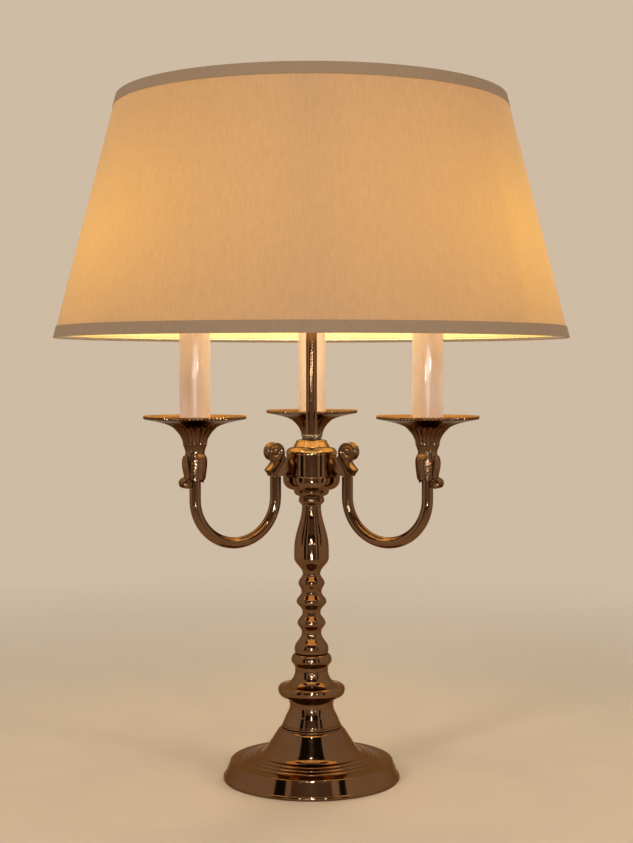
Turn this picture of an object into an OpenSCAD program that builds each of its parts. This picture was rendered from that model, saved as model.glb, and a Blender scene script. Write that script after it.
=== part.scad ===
// Three-arm candlestick lamp: a stack of turned brass pieces on a threaded rod, three curved arms with
// electric candles, and a tapered shade whose collar slides on the centre rod and clamps with a key.
// Millimetres, +Z up. The origin is on the table, on the lamp's axis, and the rear arm points along +Y.

/* [Overall] */
// Height of the whole lamp, from the table to the shade's upper edge
lamp_h = 611; // [590:1:650]

/* [Base] */
// Diameter of the spun foot where it meets the table
base_d = 160; // [140:1:180]
// Height of the foot's upright outer band
base_band_h = 16.5; // [12:0.5:18]
// Height of the whole foot, up to the column
base_h = 46.5; // [42:0.5:56]
// Thickness of the spun sheet
base_wall = 1.2; // [0.8:0.1:2]
// Diameter of the opening that the supply cord enters by
inlet_bore_d = 6.4; // [5:0.1:7.5]
// Thickness of the felt under the foot
felt_t = 1.5; // [1:0.1:3]

/* [Column] */
// Diameter of the flared piece that stands on the foot
foot_d = 53.6; // [48:0.2:60]
// Height of the flared piece
foot_h = 27.5; // [24:0.5:36]
// Diameter of the wide knop
knop_d = 60.8; // [50:0.2:72]
// Height of the knop and its concave neck
knop_h = 24; // [20:0.5:32]
// Diameter of the ring above the knop
ring_d = 36.8; // [33:0.2:46]
// Height of the ring piece
ring_h = 15.2; // [12:0.2:22]
// Diameter of the cushion above the ring
cushion_d = 30.8; // [26:0.2:36]
// Height of the cushion piece
cushion_h = 18.4; // [15:0.2:26]
// Diameter of the largest of the three beads
bead_d = 27.2; // [24:0.2:34]
// Height of the stem with the three beads
stem_h = 54; // [46:1:70]
// Largest diameter of the baluster
baluster_d = 31.6; // [26:0.2:38]
// Height of the baluster, with its collar
baluster_h = 69; // [58:1:90]
// Diameter of the necks between the turned swellings
neck_d = 17.2; // [15:0.2:20]

/* [Hub] */
// Diameter of the bowl that the arms spring from
bowl_d = 51.6; // [49:0.2:60]
// Height of the bowl
bowl_h = 20; // [17:0.5:26]
// Diameter of the upright drum
drum_d = 45.6; // [42:0.2:46.4]
// Height of the drum above the bowl's lip
drum_h = 19.5; // [18:0.5:26]
// Height of the domed cap
cap_h = 12.6; // [11:0.2:18]
// Thickness of the hub's sheet metal
hub_wall = 1.6; // [1.2:0.1:2]
// Height of the knurled lock ring
lock_ring_h = 5; // [4:0.2:8]
// Diameter of the knurled lock ring
lock_ring_d = 17.4; // [15:0.2:21]

/* [Rods] */
// Outer diameter of the threaded rod and of the polished riser
rod_d = 10; // [9:0.1:11]
// Bore of both rods
rod_bore_d = 7.2; // [5.6:0.1:7.6]
// Clearance all round between a rod and a piece threaded over it
rod_clear = 0.1; // [0.05:0.01:0.2]

/* [Arms] */
// Distance from the lamp's axis to each candle
arm_reach = 116; // [105:1:135]
// Distance from the lamp's axis to the arm's inner leg
arm_root = 37; // [36:0.5:42]
// Outer diameter of the arm's tube
arm_d = 10; // [9:0.1:11]
// Wall of the arm's tube
arm_wall = 1; // [0.8:0.1:1.4]
// Depth of the arm's curve below its bracket
arm_drop = 62; // [58:1:80]
// Width of the cast brackets
bracket_w = 10; // [9:0.5:13]
// Radius of the scroll on each bracket
scroll_r = 8.8; // [7:0.1:9.6]

/* [Candles] */
// Height of the cast cup under each drip pan
cup_h = 30; // [24:0.5:34]
// Largest diameter of the cast cup
cup_d = 19.8; // [17.6:0.2:24]
// Diameter of the drip pan
pan_d = 89; // [78:1:100]
// Height of the drip pan
pan_h = 25.5; // [22:0.5:31]
// Thickness of the drip pan's wall
pan_wall = 2; // [1.4:0.1:2.6]
// Outer diameter of the candle sleeve
sleeve_d = 27; // [26:0.2:31]
// Wall of the candle sleeve
sleeve_wall = 2.4; // [1.4:0.1:2.6]
// Height of the candle sleeve
sleeve_h = 105; // [85:1:115]
// Largest diameter of the bulb's glass
bulb_d = 35; // [33:0.5:38]
// Height of the bulb's glass above the sleeve
bulb_h = 76; // [70:1:88]

/* [Shade] */
// Diameter of the shade's upper edge
shade_top_d = 348; // [330:1:380]
// Diameter of the shade's lower edge
shade_bottom_d = 459; // [430:1:480]
// Upright height of the shade
shade_h = 213; // [200:1:222]
// Thickness of the stiff liner
liner_t = 0.8; // [0.5:0.1:1.2]
// Thickness of the fabric
fabric_t = 0.4; // [0.3:0.1:0.8]
// Thickness of the trim tape
trim_t = 0.5; // [0.3:0.1:0.8]
// Width of the trim tape that shows at each edge
trim_w = 10; // [8:0.5:14]
// Diameter of the shade's frame wire
wire_d = 3.2; // [2.6:0.1:4]
// Drop from the shade's upper edge to the spider's washer
spider_drop = 38; // [32:1:44]
// Clearance of the collar on the riser, all round
slide_clear = 0.05; // [0.03:0.01:0.09]

/* [Hidden] */
$fn = 64;
ARMS = [["rear", 90], ["left", 210], ["right", 330]];

// Pieces that touch across a fit keep this gap
fit = 0.1;
rod_r = rod_d / 2;
bore_r = rod_r + rod_clear;

// Heights of the turned stack
foot_z = base_h;
knop_z = foot_z + foot_h;
ring_z = knop_z + knop_h;
cushion_z = ring_z + ring_h;
stem_z = cushion_z + cushion_h;
baluster_z = stem_z + stem_h;
bowl_z = baluster_z + baluster_h;

// Radii of the turned stack
base_r = base_d / 2;
base_top_r = foot_d / 2 + 1.6;
foot_r = foot_d / 2;
foot_waist_r = foot_r - 7;
foot_top_r = foot_r - 2.3;
knop_r = knop_d / 2;
knop_neck_r = ring_d / 2 - 3.5;
ring_r = ring_d / 2;
joint_r = cushion_d / 2 - 1.2;
cushion_r = cushion_d / 2;
neck_r = neck_d / 2;
stem_necks = [neck_r + 0.3, neck_r - 0.4, neck_r + 0.6, neck_r - 0.6];
bead_r = bead_d / 2;
baluster_r = baluster_d / 2;
collar_r = neck_r + 3.1;

// Hub
bowl_r = bowl_d / 2;
bowl_neck_r = collar_r - 0.6;
bowl_cup_r = collar_r + 4.3;
bowl_step = 0.6;
bowl_floor_t = 3;
drum_r = drum_d / 2;
drum_seat_z = bowl_z + bowl_h - 4.5;
lip_z = bowl_z + bowl_h;
drum_top_z = lip_z + drum_h;
cap_top_z = drum_top_z + cap_h;
cap_r = drum_r + 0.4;
cap_upper_r = drum_r - 6.4;
cap_skirt_h = 3;
lock_top_z = cap_top_z + lock_ring_h;
knurl_count = 30;

// Rods, nuts and coupling
nut_af = 15;
nut_h = 4.6;
washer_t = 1.5;
washer_r = 12;
hub_nut_z = bowl_z + bowl_floor_t;
coupling_af = 14;
coupling_top_z = cap_top_z - 8.5;
window_z = hub_nut_z + nut_h + 2;
window_h = 9;

// Weight inside the foot
weight_floor_z = felt_t + fit;
weight_r = base_r - 13;
weight_clear = 1.2;
weight_rim_h = base_band_h - base_wall - weight_floor_z - weight_clear;
weight_boss_r = base_top_r - base_wall - 2;
weight_shoulder = 2;
felt_in = 2.5;
weight_pocket_r = 14;
weight_pocket_h = 13;
weight_web_z = weight_floor_z + weight_pocket_h;
weight_cone_w = 9;
cord_channel_w = 9;
cord_channel_top_z = weight_floor_z + 9.5;

// Cord inlet, square to the sloping band at the back of the foot
band_lean = 20;
inlet_z = 9.4;
inlet_wall_r = base_r - 3.3;
inlet_r = inlet_bore_d / 2;
bushing_r = inlet_r + 0.9;
bushing_flange_r = inlet_r + 2;
bushing_flange_t = 1.4;
bushing_body_h = 5;
bushing_in = 4;
bushing_lift = 0.45;

// Arms. The bracket's outline is measured from its lower edge.
bracket_z = lip_z + 0.3;
arm_r = arm_d / 2;
arm_bore_r = arm_r - arm_wall;
bend_r = (arm_reach - arm_root) / 2;
bend_x = arm_root + bend_r;
bend_z = bracket_z - arm_drop + arm_r + bend_r;
scroll_x = arm_root + 1.8;
scroll_z = 22.2;
scroll_boss_r = 2.8;
scroll_rim = 2;
scroll_relief = 1;
leaf_x = arm_root + 9.9;
leaf_z = 4.3;
spigot_h = 10;
spigot_r = arm_bore_r - fit;
lead_bore_r = min(2.4, spigot_r - 1);
lead_bore_z = 6;
screw_z = 12;
screw_r = 1.9;
screw_clear = 0.05;
screw_head_r = 3.4;
screw_head_h = 2;
screw_in = 8.5;

// Candle cups, drip pans, sleeves and sockets
cup_z = bracket_z;
cup_r = cup_d / 2;
cup_ring_h = 6.6;
cup_neck_r = arm_r + 3.3;
cup_ring_r = cup_neck_r + 0.8;
curl_r = 4.6;
curl_w = 10;
curl_x = cup_r - 1;
curl_z = -2.6;
pan_z = cup_z + cup_h;
pan_r = pan_d / 2;
pan_foot_r = cup_neck_r + 2;
pan_rim_t = 3;
pan_rim_z = pan_h - pan_rim_t;
pan_floor_z = pan_z + pan_h - 7.4;
pan_floor_r = sleeve_d / 2 + 4;
sleeve_r = sleeve_d / 2;
sleeve_bore_r = sleeve_r - sleeve_wall;
sleeve_top_z = pan_floor_z + sleeve_h;
pan_nut_af = arm_d + 4;
pan_nut_h = 4.4;
strap_z = pan_floor_z + pan_nut_h;
strap_t = 1.2;
strap_w = 7;
strap_x = sleeve_bore_r - 2.4;
arm_top_z = strap_z + strap_t + 4;
socket_h = 31;
socket_z = sleeve_top_z - socket_h - 2;
socket_r = sleeve_bore_r - 0.5;
bulb_cap_r = 6.95;
shell_r = 7.3;
shell_t = 0.25;
shell_z = socket_z + 5;
contact_r = 3;
contact_t = 1;
bulb_cap_z = shell_z + 3;
bulb_cap_top_z = sleeve_top_z + 1;
bulb_r = bulb_d / 2;
bulb_neck_r = bulb_cap_r + 1.1;
bulb_wall = 0.7;

// Wiring: a flat twin lead, lead_w across and lead_t thick
lead_t = 1.7;
lead_w = 3.4;
lead_top_z = socket_z;
trunk_r = 2.6;
splice_r = 1.3;
splice_z = window_z + window_h / 2;
splice_x = 9.3;
splice_sweep = 330;
connector_r = 2.6;
connector_z = splice_z + splice_r;
connector_top_z = bracket_z + lead_bore_z - lead_t / 2;

// The coupling reaches down to the leads, and the rods meet in its middle
coupling_z = connector_top_z + lead_t + 0.5;
rod_join_z = (coupling_z + coupling_top_z) / 2;
rod_foot_z = weight_floor_z + 2 * trunk_r + 0.4;

// Shade, collar, key and finial
shade_top_r = shade_top_d / 2;
shade_bottom_r = shade_bottom_d / 2;
finial_h = 17;
finial_grip = 7;
shade_top_z = lamp_h;
shade_z = shade_top_z - shade_h;
finial_z = shade_top_z - finial_h - 2;
riser_top_z = finial_z + finial_grip;
skin_t = liner_t + fabric_t;
wire_r = wire_d / 2;
spoke_r = wire_r - 0.25;
spoke_step = 0.05;
wire_in = skin_t + trim_t + wire_r + 0.15;
shade_lean = (shade_bottom_r - shade_top_r) / shade_h;
top_wire_z = shade_top_z - wire_r - 1;
bottom_wire_z = shade_z + wire_r + 1;
top_wire_r = shade_top_r - wire_in + shade_lean * (shade_top_z - top_wire_z);
bottom_wire_r = shade_bottom_r - wire_in - shade_lean * (bottom_wire_z - shade_z);
spider_z = shade_top_z - spider_drop;
spider_washer_r = 15.5;
spider_washer_t = 2.4;
spider_angles = [30, 150, 270];
spider_knee_r = 46;
weld_gap = 0.02;
collar_bore_r = rod_r + slide_clear;
collar_body_r = 8.4;
collar_flange_r = 13;
collar_flange_t = 2.5;
collar_skirt_h = 18;
collar_h = 30;
collar_play = 0.15;
collar_flange_z = spider_z - collar_flange_t - collar_play;
collar_z = collar_flange_z - collar_skirt_h;
collar_top_z = collar_z + collar_h;
collar_nut_h = 4.5;
collar_nut_z = spider_z + spider_washer_t + collar_play;
key_z = collar_z + 8;
key_r = 2.4;
key_bow_r = 8.5;
key_bow_x = 27;
key_bow_t = 3;
key_neck_h = 3.6;
key_boss_r = key_r + 2.4;
key_boss_h = collar_body_r + 3;
spider_clear = 0.08;

// ---- Outlines. Each is a list of [radius, height] that starts at height 0. ----

// Leaves upright and arrives level
function up_over(r0, r1, h, n = 8) =
    [for (i = [0:n]) [r0 + (r1 - r0) * (1 - cos(90 * i / n)), h * sin(90 * i / n)]];
// Leaves level and arrives upright
function over_up(r0, r1, h, n = 8) =
    [for (i = [0:n]) [r0 + (r1 - r0) * sin(90 * i / n), h * (1 - cos(90 * i / n))]];
// Leaves and arrives upright, and with a high power keeps longer to r0
function ogee(r0, r1, h, power = 1, n = 10) =
    [for (i = [0:n]) [r0 + (r1 - r0) * pow((1 - cos(180 * i / n)) / 2, power), h * i / n]];
// Leaves on a slant and arrives upright
function flare(r0, r1, h, n = 8) = [for (i = [0:n]) [r0 + (r1 - r0) * sin(90 * i / n), h * i / n]];
function straight(r0, r1, h) = [[r0, 0], [r1, h]];
function height(outline) = outline[len(outline) - 1][1];
function lift(outline, z) = [for (p = outline) [p[0], p[1] + z]];
// Puts outlines on top of each other
function stack(outlines, i = 0, z = 0) = i == len(outlines) ? [] :
    concat(lift(outlines[i], z), stack(outlines, i + 1, z + height(outlines[i])));
// Drops a point that repeats the one before it
function tidy(points) =
    [for (i = [0:len(points) - 1]) if (i == 0 || norm(points[i] - points[i - 1]) > 0.002) points[i]];
function reversed(points) = [for (i = [len(points) - 1:-1:0]) points[i]];

// A turned solid with a bore through it
module turned(outline, hole_r) {
    rotate_extrude() polygon(tidy(concat([[hole_r, 0]], outline, [[hole_r, height(outline)]])));
}

module pipe(outer_r, inner_r, h) {
    difference() {
        cylinder(r = outer_r, h = h);
        translate([0, 0, -1]) cylinder(r = inner_r, h = h + 2);
    }
}

module hex_nut(across_flats, hole_r, h) {
    difference() {
        cylinder(d = across_flats / cos(30), h = h, $fn = 6);
        translate([0, 0, -1]) cylinder(r = hole_r, h = h + 2);
    }
}

// Places its children on one arm, with +X along the arm, or on all three
module on_arm(angle) { rotate([0, 0, angle]) children(); }
module on_arms() { for (arm = ARMS) on_arm(arm[1]) children(); }
module at_candle(z) { translate([arm_reach, 0, z]) children(); }

// ---- Foot ----

lip_h = 3.6;
lip_in = 1.3;
band_in = 6.2;
band_round = 1.2;
shoulder_w = 17;
shoulder_rise = 0.8;
step_h = 1.7;
step_w = 4.8;
step_count = 3;
band_top_r = base_r - band_in;
shoulder_r = base_r - band_round - shoulder_w;

// The foot outside the sheet: lip, leaning band, shoulder, three steps and bell
function base_outline() = stack([
    over_up(base_r - 0.7, base_r, lip_h * 0.4, 4),
    up_over(base_r, base_r - lip_in, lip_h * 0.6, 4),
    straight(base_r - lip_in, band_top_r, base_band_h - lip_h - 1),
    up_over(band_top_r, band_top_r - band_round, 1, 5),
    straight(band_top_r - band_round, shoulder_r, shoulder_rise),
    for (i = [0:step_count - 1])
        each [up_over(shoulder_r - i * step_w, shoulder_r - (i + 1) * step_w, step_h, 5)],
    base_bell()]);

// The bell: a hollow foot, a straight cone and a rounded top
bell_foot_r = shoulder_r - step_count * step_w;
bell_h = base_h - base_band_h - shoulder_rise - step_count * step_h;
bell_waist_r = bell_foot_r - 7.6;
bell_crown_r = base_top_r + 2.2;
function base_bell() = stack([
    over_up(bell_foot_r, bell_waist_r, bell_h * 0.28, 6),
    straight(bell_waist_r, bell_crown_r, bell_h * 0.59),
    up_over(bell_crown_r, base_top_r, bell_h * 0.13, 6)]);

module inlet_frame() {
    translate([0, inlet_wall_r, inlet_z]) rotate([band_lean - 90, 0, 0]) children();
}

module base_shell() {
    outer = tidy(base_outline());
    last = len(outer) - 1;
    inner = [for (p = outer) [p[0] - base_wall, max(0, p[1] - base_wall)]];
    color("dimgray") difference() {
        rotate_extrude() polygon(tidy(concat(
            outer, [[bore_r, outer[last][1]], [bore_r, inner[last][1]]], reversed(inner))));
        inlet_frame() translate([0, 0, -bushing_body_h])
            cylinder(r = bushing_r + fit, h = 3 * bushing_body_h);
    }
}

module base_weight() {
    boss_h = base_h - base_wall - weight_floor_z - fit;
    color("darkslategray") difference() {
        translate([0, 0, weight_floor_z]) union() {
            cylinder(r = weight_r, h = weight_rim_h);
            cylinder(r1 = weight_boss_r + weight_cone_w, r2 = weight_boss_r,
                h = boss_h - 2 * weight_shoulder);
            cylinder(r = weight_boss_r - weight_shoulder, h = boss_h);
        }
        translate([0, 0, -1]) cylinder(r = bore_r, h = base_h + 2);
        translate([0, 0, -1]) cylinder(r = weight_pocket_r, h = weight_web_z + 1);
        translate([-cord_channel_w / 2, 0, 0]) cube([cord_channel_w, base_r, cord_channel_top_z]);
    }
}

module felt_pad() {
    color("darkgreen") cylinder(r = base_r - base_wall - felt_in, h = felt_t);
}

module cord_bushing() {
    color("black") inlet_frame() difference() {
        union() {
            translate([0, 0, -bushing_in]) cylinder(r = bushing_r, h = bushing_body_h);
            translate([0, 0, bushing_lift]) cylinder(r = bushing_flange_r, h = bushing_flange_t);
        }
        translate([0, 0, -2 * bushing_body_h]) cylinder(r = inlet_r, h = 4 * bushing_body_h);
    }
}

module base_washer() {
    color("silver") translate([0, 0, weight_web_z - washer_t]) pipe(washer_r, bore_r, washer_t);
}

module rod_nuts() {
    color("silver") for (z = [weight_web_z - washer_t - nut_h, hub_nut_z])
        translate([0, 0, z]) hex_nut(nut_af, bore_r, nut_h);
}

module threaded_rod() {
    color("silver") difference() {
        translate([0, 0, rod_foot_z]) pipe(rod_r, rod_bore_d / 2, rod_join_z - rod_foot_z - fit);
        translate([0, -lead_w / 2 - 0.5, window_z]) cube([rod_d, lead_w + 1, window_h]);
    }
}

// ---- Turned column ----

module column_foot() {
    lip = 2.4;
    groove_h = 0.8;
    cone_r = foot_r - 3.8;
    side_h = foot_h - lip - groove_h;
    color("dimgray") translate([0, 0, foot_z]) turned(stack([
        over_up(foot_r - 0.7, foot_r, lip / 2, 4),
        up_over(foot_r, foot_r - 0.5, lip / 2, 4),
        straight(foot_r - 1, foot_r - 1, groove_h),
        straight(foot_r - 0.6, cone_r, side_h * 0.3),
        flare(cone_r, foot_waist_r, side_h * 0.37),
        up_over(foot_waist_r, foot_top_r, side_h * 0.33)]), bore_r);
}

module column_knop() {
    edge_h = 10.5;
    color("dimgray") translate([0, 0, knop_z]) turned(stack([
        over_up(foot_top_r, knop_r, edge_h * 0.6),
        up_over(knop_r, knop_r - 2.8, edge_h * 0.4),
        over_up(knop_r - 2.8, knop_neck_r, knop_h - edge_h, 10)]), bore_r);
}

module column_ring() {
    color("dimgray") translate([0, 0, ring_z]) turned(stack([
        ogee(knop_neck_r, ring_r, ring_h * 0.58, 2),
        up_over(ring_r, joint_r, ring_h * 0.42)]), bore_r);
}

module column_cushion() {
    color("dimgray") translate([0, 0, cushion_z]) turned(stack([
        over_up(joint_r, cushion_r, cushion_h * 0.2, 5),
        straight(cushion_r, cushion_r, cushion_h * 0.06),
        ogee(cushion_r, stem_necks[0], cushion_h * 0.74)]), bore_r);
}

// Bead i: from one neck to its peak in rise, and down to the next neck in fall
function bead(i, peak_r, rise, fall) = stack([
    ogee(stem_necks[i], peak_r, rise, 1.5, 8), ogee(peak_r, stem_necks[i + 1], fall, 1.1, 8)]);

module beaded_stem() {
    beads = [[bead_r - 0.8, 0.17, 0.17], [bead_r, 0.19, 0.16], [bead_r - 1.7, 0.15, 0.16]];
    color("dimgray") translate([0, 0, stem_z]) turned(stack([
        for (i = [0:2]) bead(i, beads[i][0], stem_h * beads[i][1], stem_h * beads[i][2])]), bore_r);
}

module baluster() {
    belly_h = baluster_h * 0.21;
    collar_h = 7.5;
    taper_h = baluster_h * 0.62;
    color("dimgray") translate([0, 0, baluster_z]) turned(stack([
        ogee(stem_necks[3], baluster_r, belly_h),
        straight(baluster_r, baluster_r, baluster_h - belly_h - taper_h - collar_h),
        ogee(baluster_r, neck_r, taper_h, 1.3, 14),
        ogee(neck_r, collar_r, collar_h * 0.6),
        up_over(collar_r, collar_r - 0.9, collar_h * 0.4, 5)]), bore_r);
}

// ---- Hub ----

// A small cup below and the bowl above it, with a step between them
module hub_bowl() {
    outer = tidy(stack([
        straight(bowl_neck_r, bowl_neck_r, bowl_h * 0.08),
        over_up(bowl_neck_r, bowl_cup_r, bowl_h * 0.22, 6),
        straight(bowl_cup_r, bowl_cup_r, bowl_h * 0.06),
        over_up(bowl_cup_r + bowl_step, bowl_r, bowl_h * 0.46, 8),
        straight(bowl_r, bowl_r, bowl_h * 0.18 - 1),
        up_over(bowl_r, bowl_r - 0.8, 1, 4)]));
    seat_h = drum_seat_z - bowl_z;
    color("dimgray") translate([0, 0, bowl_z]) difference() {
        rotate_extrude() polygon(concat([[bore_r, 0]], outer, [[bore_r, bowl_h]]));
        translate([0, 0, seat_h]) cylinder(r = drum_r + fit, h = bowl_h);
        translate([0, 0, bowl_floor_t]) cylinder(r1 = collar_r - 1.2, r2 = drum_r - hub_wall - 1, h = seat_h);
    }
}

module hub_drum() {
    inner_r = drum_r - hub_wall;
    color("dimgray") difference() {
        translate([0, 0, drum_seat_z]) pipe(drum_r, inner_r, drum_top_z - drum_seat_z);
        on_arms() for (hole = [[lead_bore_z, lead_bore_r + fit], [screw_z, screw_r + fit]])
            translate([inner_r - 2, 0, bracket_z + hole[0]]) rotate([0, 90, 0])
                cylinder(r = hole[1], h = hub_wall + 4);
    }
}

module hub_cap() {
    tier_h = 0.22 * cap_h;
    wall = hub_wall;
    color("dimgray") translate([0, 0, drum_top_z]) difference() {
        union() {
            turned(stack([
                straight(cap_r, cap_r, tier_h),
                up_over(cap_r, cap_upper_r + 0.3, tier_h + 0.6),
                straight(cap_upper_r, cap_upper_r, cap_h - 2 * tier_h - 4.2),
                up_over(cap_upper_r, cap_upper_r - 3.6, 3.6)]), bore_r);
            translate([0, 0, -cap_skirt_h])
                pipe(drum_r - hub_wall - fit, drum_r - 2 * hub_wall - fit, cap_skirt_h + wall);
        }
        translate([0, 0, -1]) cylinder(r = drum_r - 2 * hub_wall - fit, h = 1 + tier_h);
        translate([0, 0, -1]) cylinder(r = cap_upper_r - wall - 2, h = cap_h - wall - 0.8);
    }
}

module rod_coupling() {
    color("silver") translate([0, 0, coupling_z]) hex_nut(coupling_af, bore_r, coupling_top_z - coupling_z);
}

module lock_ring() {
    tooth = 0.5;
    ring_points = [for (i = [0:2 * knurl_count - 1])
        let (r = lock_ring_d / 2 - (i % 2) * tooth, a = 180 * i / knurl_count) [r * cos(a), r * sin(a)]];
    color("gray") translate([0, 0, cap_top_z]) difference() {
        union() {
            cylinder(r = lock_ring_d / 2 - tooth, h = lock_ring_h);
            translate([0, 0, 0.8]) linear_extrude(lock_ring_h - 1.6) polygon(ring_points);
        }
        translate([0, 0, -1]) cylinder(r = bore_r, h = lock_ring_h + 2);
    }
}

module bracket_screws() {
    seat_x = drum_r - hub_wall - 0.3;
    color("silver") on_arms() translate([seat_x, 0, bracket_z + screw_z]) rotate([0, 90, 0]) union() {
        cylinder(r = screw_r, h = hub_wall + 0.3 + screw_in);
        translate([0, 0, -screw_head_h]) cylinder(r = screw_head_r, h = screw_head_h);
    }
}

// ---- Arms ----

// Side view of the bracket: pad on the drum, pointed leaf, and the neck of the scroll
function bracket_outline() = concat(
    [[drum_r - 2, 0], [arm_root + 7, 0], [leaf_x, leaf_z], [leaf_x - 3.2, leaf_z + 3.1],
     [scroll_x + 1.8, scroll_z - scroll_r - 1.2]],
    [for (i = [0:10]) let (a = -65 + i * 24.5)
        [scroll_x + scroll_r * cos(a), scroll_z + scroll_r * sin(a)]],
    [[drum_r + 5.5, scroll_z - 4], [drum_r + 2.5, scroll_z - 6.5], [drum_r - 2, scroll_z - 7.5]]);

module scroll_bracket() {
    color("dimgray") translate([0, 0, bracket_z]) difference() {
        union() {
            rotate([90, 0, 0]) linear_extrude(bracket_w, center = true) polygon(bracket_outline());
            translate([scroll_x, 0, scroll_z]) rotate([90, 0, 0])
                cylinder(r = scroll_boss_r, h = bracket_w + 1.6, center = true);
            translate([arm_root, 0, -spigot_h]) cylinder(r = spigot_r, h = spigot_h + 1);
        }
        translate([0, 0, -1]) cylinder(r = drum_r + 0.05, h = 2 * scroll_z);
        for (side = [-1, 1]) translate([scroll_x, side * (bracket_w / 2 - scroll_relief / 2), scroll_z])
            rotate([90, 0, 0]) difference() {
                cylinder(r = scroll_r - scroll_rim, h = scroll_relief + 0.01, center = true);
                cylinder(r = scroll_boss_r, h = 2 * scroll_relief, center = true);
            }
        lead_elbow(0) circle(r = lead_bore_r);
        translate([drum_r - 2, 0, lead_bore_z]) rotate([0, 90, 0])
            cylinder(r = lead_bore_r, h = arm_root - lead_bore_z - drum_r + 2);
        translate([arm_root, 0, -spigot_h - 1]) cylinder(r = lead_bore_r, h = spigot_h + 1);
        translate([drum_r - 2, 0, screw_z]) rotate([0, 90, 0])
            cylinder(r = screw_r + screw_clear, h = screw_in + 2.5);
    }
}

// Quarter bend from the arm's inner leg to the drum's wall, on the bracket's lower edge at height z
module lead_elbow(z) {
    translate([arm_root - lead_bore_z, 0, z]) rotate([90, 0, 0]) rotate_extrude(angle = 90)
        translate([lead_bore_z, 0]) children();
}

// Half of a ring in the arm's upright plane, below the bend's centre
module half_bend(bend) {
    translate([bend_x, 0, bend_z]) rotate([90, 0, 0]) rotate([0, 0, 180]) rotate_extrude(angle = 180)
        translate([bend, 0]) children();
}

module arm_tube() {
    inner_leg_h = bracket_z - bend_z;
    outer_leg_h = arm_top_z - bend_z;
    color("dimgray") difference() {
        union() {
            half_bend(bend_r) circle(r = arm_r);
            translate([arm_root, 0, bend_z]) cylinder(r = arm_r, h = inner_leg_h);
            translate([arm_reach, 0, bend_z]) cylinder(r = arm_r, h = outer_leg_h);
        }
        half_bend(bend_r) circle(r = arm_bore_r);
        translate([arm_root, 0, bend_z]) cylinder(r = arm_bore_r, h = inner_leg_h + 1);
        translate([arm_reach, 0, bend_z]) cylinder(r = arm_bore_r, h = outer_leg_h + 1);
    }
}

module candle_cup() {
    body_h = cup_h - cup_ring_h;
    color("dimgray") at_candle(cup_z) difference() {
        union() {
            turned(stack([
                ogee(cup_r - 1.6, cup_r, body_h * 0.3, 1, 6),
                straight(cup_r, cup_r, body_h * 0.25),
                ogee(cup_r, cup_neck_r, body_h * 0.45, 1, 8),
                ogee(cup_neck_r, cup_ring_r, cup_ring_h * 0.2, 1, 4),
                straight(cup_ring_r, cup_ring_r, cup_ring_h * 0.8)]), arm_r + fit);
            translate([curl_x, 0, curl_z]) rotate([90, 0, 0]) cylinder(r = curl_r, h = curl_w, center = true);
            rotate([90, 0, 0]) linear_extrude(curl_w, center = true) polygon([
                [arm_r + 1, 0.5], [curl_x, curl_z - curl_r / 2], [curl_x + curl_r / 2, curl_z + curl_r * 0.8],
                [cup_r - 0.4, body_h * 0.4], [arm_r + 1, body_h * 0.4]]);
        }
        translate([0, 0, -2 * curl_r]) cylinder(r = arm_r + fit, h = cup_h);
    }
}

module drip_pan() {
    floor_h = pan_floor_z - pan_z;
    edge_h = 0.8;
    knee = [pan_floor_r + 1.5, pan_h * 0.61];
    trumpet = [for (i = [1:8]) let (t = i / 8)
        [pan_foot_r + (knee[0] - pan_foot_r) * pow(t, 1.9), edge_h + (knee[1] - edge_h) * t]];
    saucer = [for (i = [1:8]) let (t = i / 8)
        [knee[0] + (pan_r - 1 - knee[0]) * t,
         knee[1] + (pan_rim_z - knee[1]) * (1 - pow(1 - t, 4) + pow(t, 1.6)) / 2]];
    rim = lift(stack([
        over_up(pan_r - 1, pan_r, 1, 3),
        straight(pan_r, pan_r, pan_rim_t - 1.6),
        up_over(pan_r, pan_r - 0.8, 0.6, 3)]), pan_rim_z);
    dish = [for (p = saucer) if (p[0] < pan_r - 4 && p[1] + pan_wall > floor_h + 0.1)
        [p[0] - 0.6, p[1] + pan_wall]];
    color("dimgray") at_candle(pan_z) rotate_extrude() polygon(tidy(concat(
        [[arm_r + fit, 0], [pan_foot_r, 0], [pan_foot_r, edge_h]], trumpet, saucer, rim,
        [[pan_r - 2.2, pan_h]], reversed(dish), [[pan_floor_r, floor_h], [arm_r + fit, floor_h]])));
}

module pan_nuts() {
    color("silver") on_arms() at_candle(pan_floor_z) hex_nut(pan_nut_af, arm_r + fit, pan_nut_h);
}

module candle_sleeve() {
    color("ivory") at_candle(pan_floor_z) turned(stack([
        straight(sleeve_r, sleeve_r, sleeve_h - 1.2),
        up_over(sleeve_r, sleeve_r - 1.2, 1.2, 4)]), sleeve_bore_r);
}

// Steel straps that carry each socket on the arm's threaded end
module socket_straps() {
    rise = socket_z - strap_z;
    color("silver") on_arms() at_candle(strap_z) difference() {
        union() {
            cylinder(r = arm_r + 2.6, h = strap_t);
            translate([-strap_x, -strap_w / 2, 0]) cube([2 * strap_x, strap_w, strap_t]);
            for (side = [-1, 1]) translate([side * strap_x - strap_t / 2, -strap_w / 2, 0])
                cube([strap_t, strap_w, rise]);
        }
        translate([0, 0, -1]) cylinder(r = arm_r + fit, h = strap_t + 2);
    }
}

module socket_bodies() {
    color("white") on_arms() at_candle(socket_z) difference() {
        cylinder(r = socket_r, h = socket_h);
        translate([0, 0, shell_z - socket_z]) cylinder(r = shell_r + fit, h = socket_h);
    }
}

module socket_shells() {
    shell_h = socket_z + socket_h - shell_z - 1;
    color("goldenrod") on_arms() at_candle(shell_z + 1.5) pipe(shell_r, shell_r - shell_t, shell_h - 1.5);
}

module socket_contacts() {
    color("goldenrod") on_arms() at_candle(shell_z) cylinder(r = contact_r, h = contact_t);
}

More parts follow.
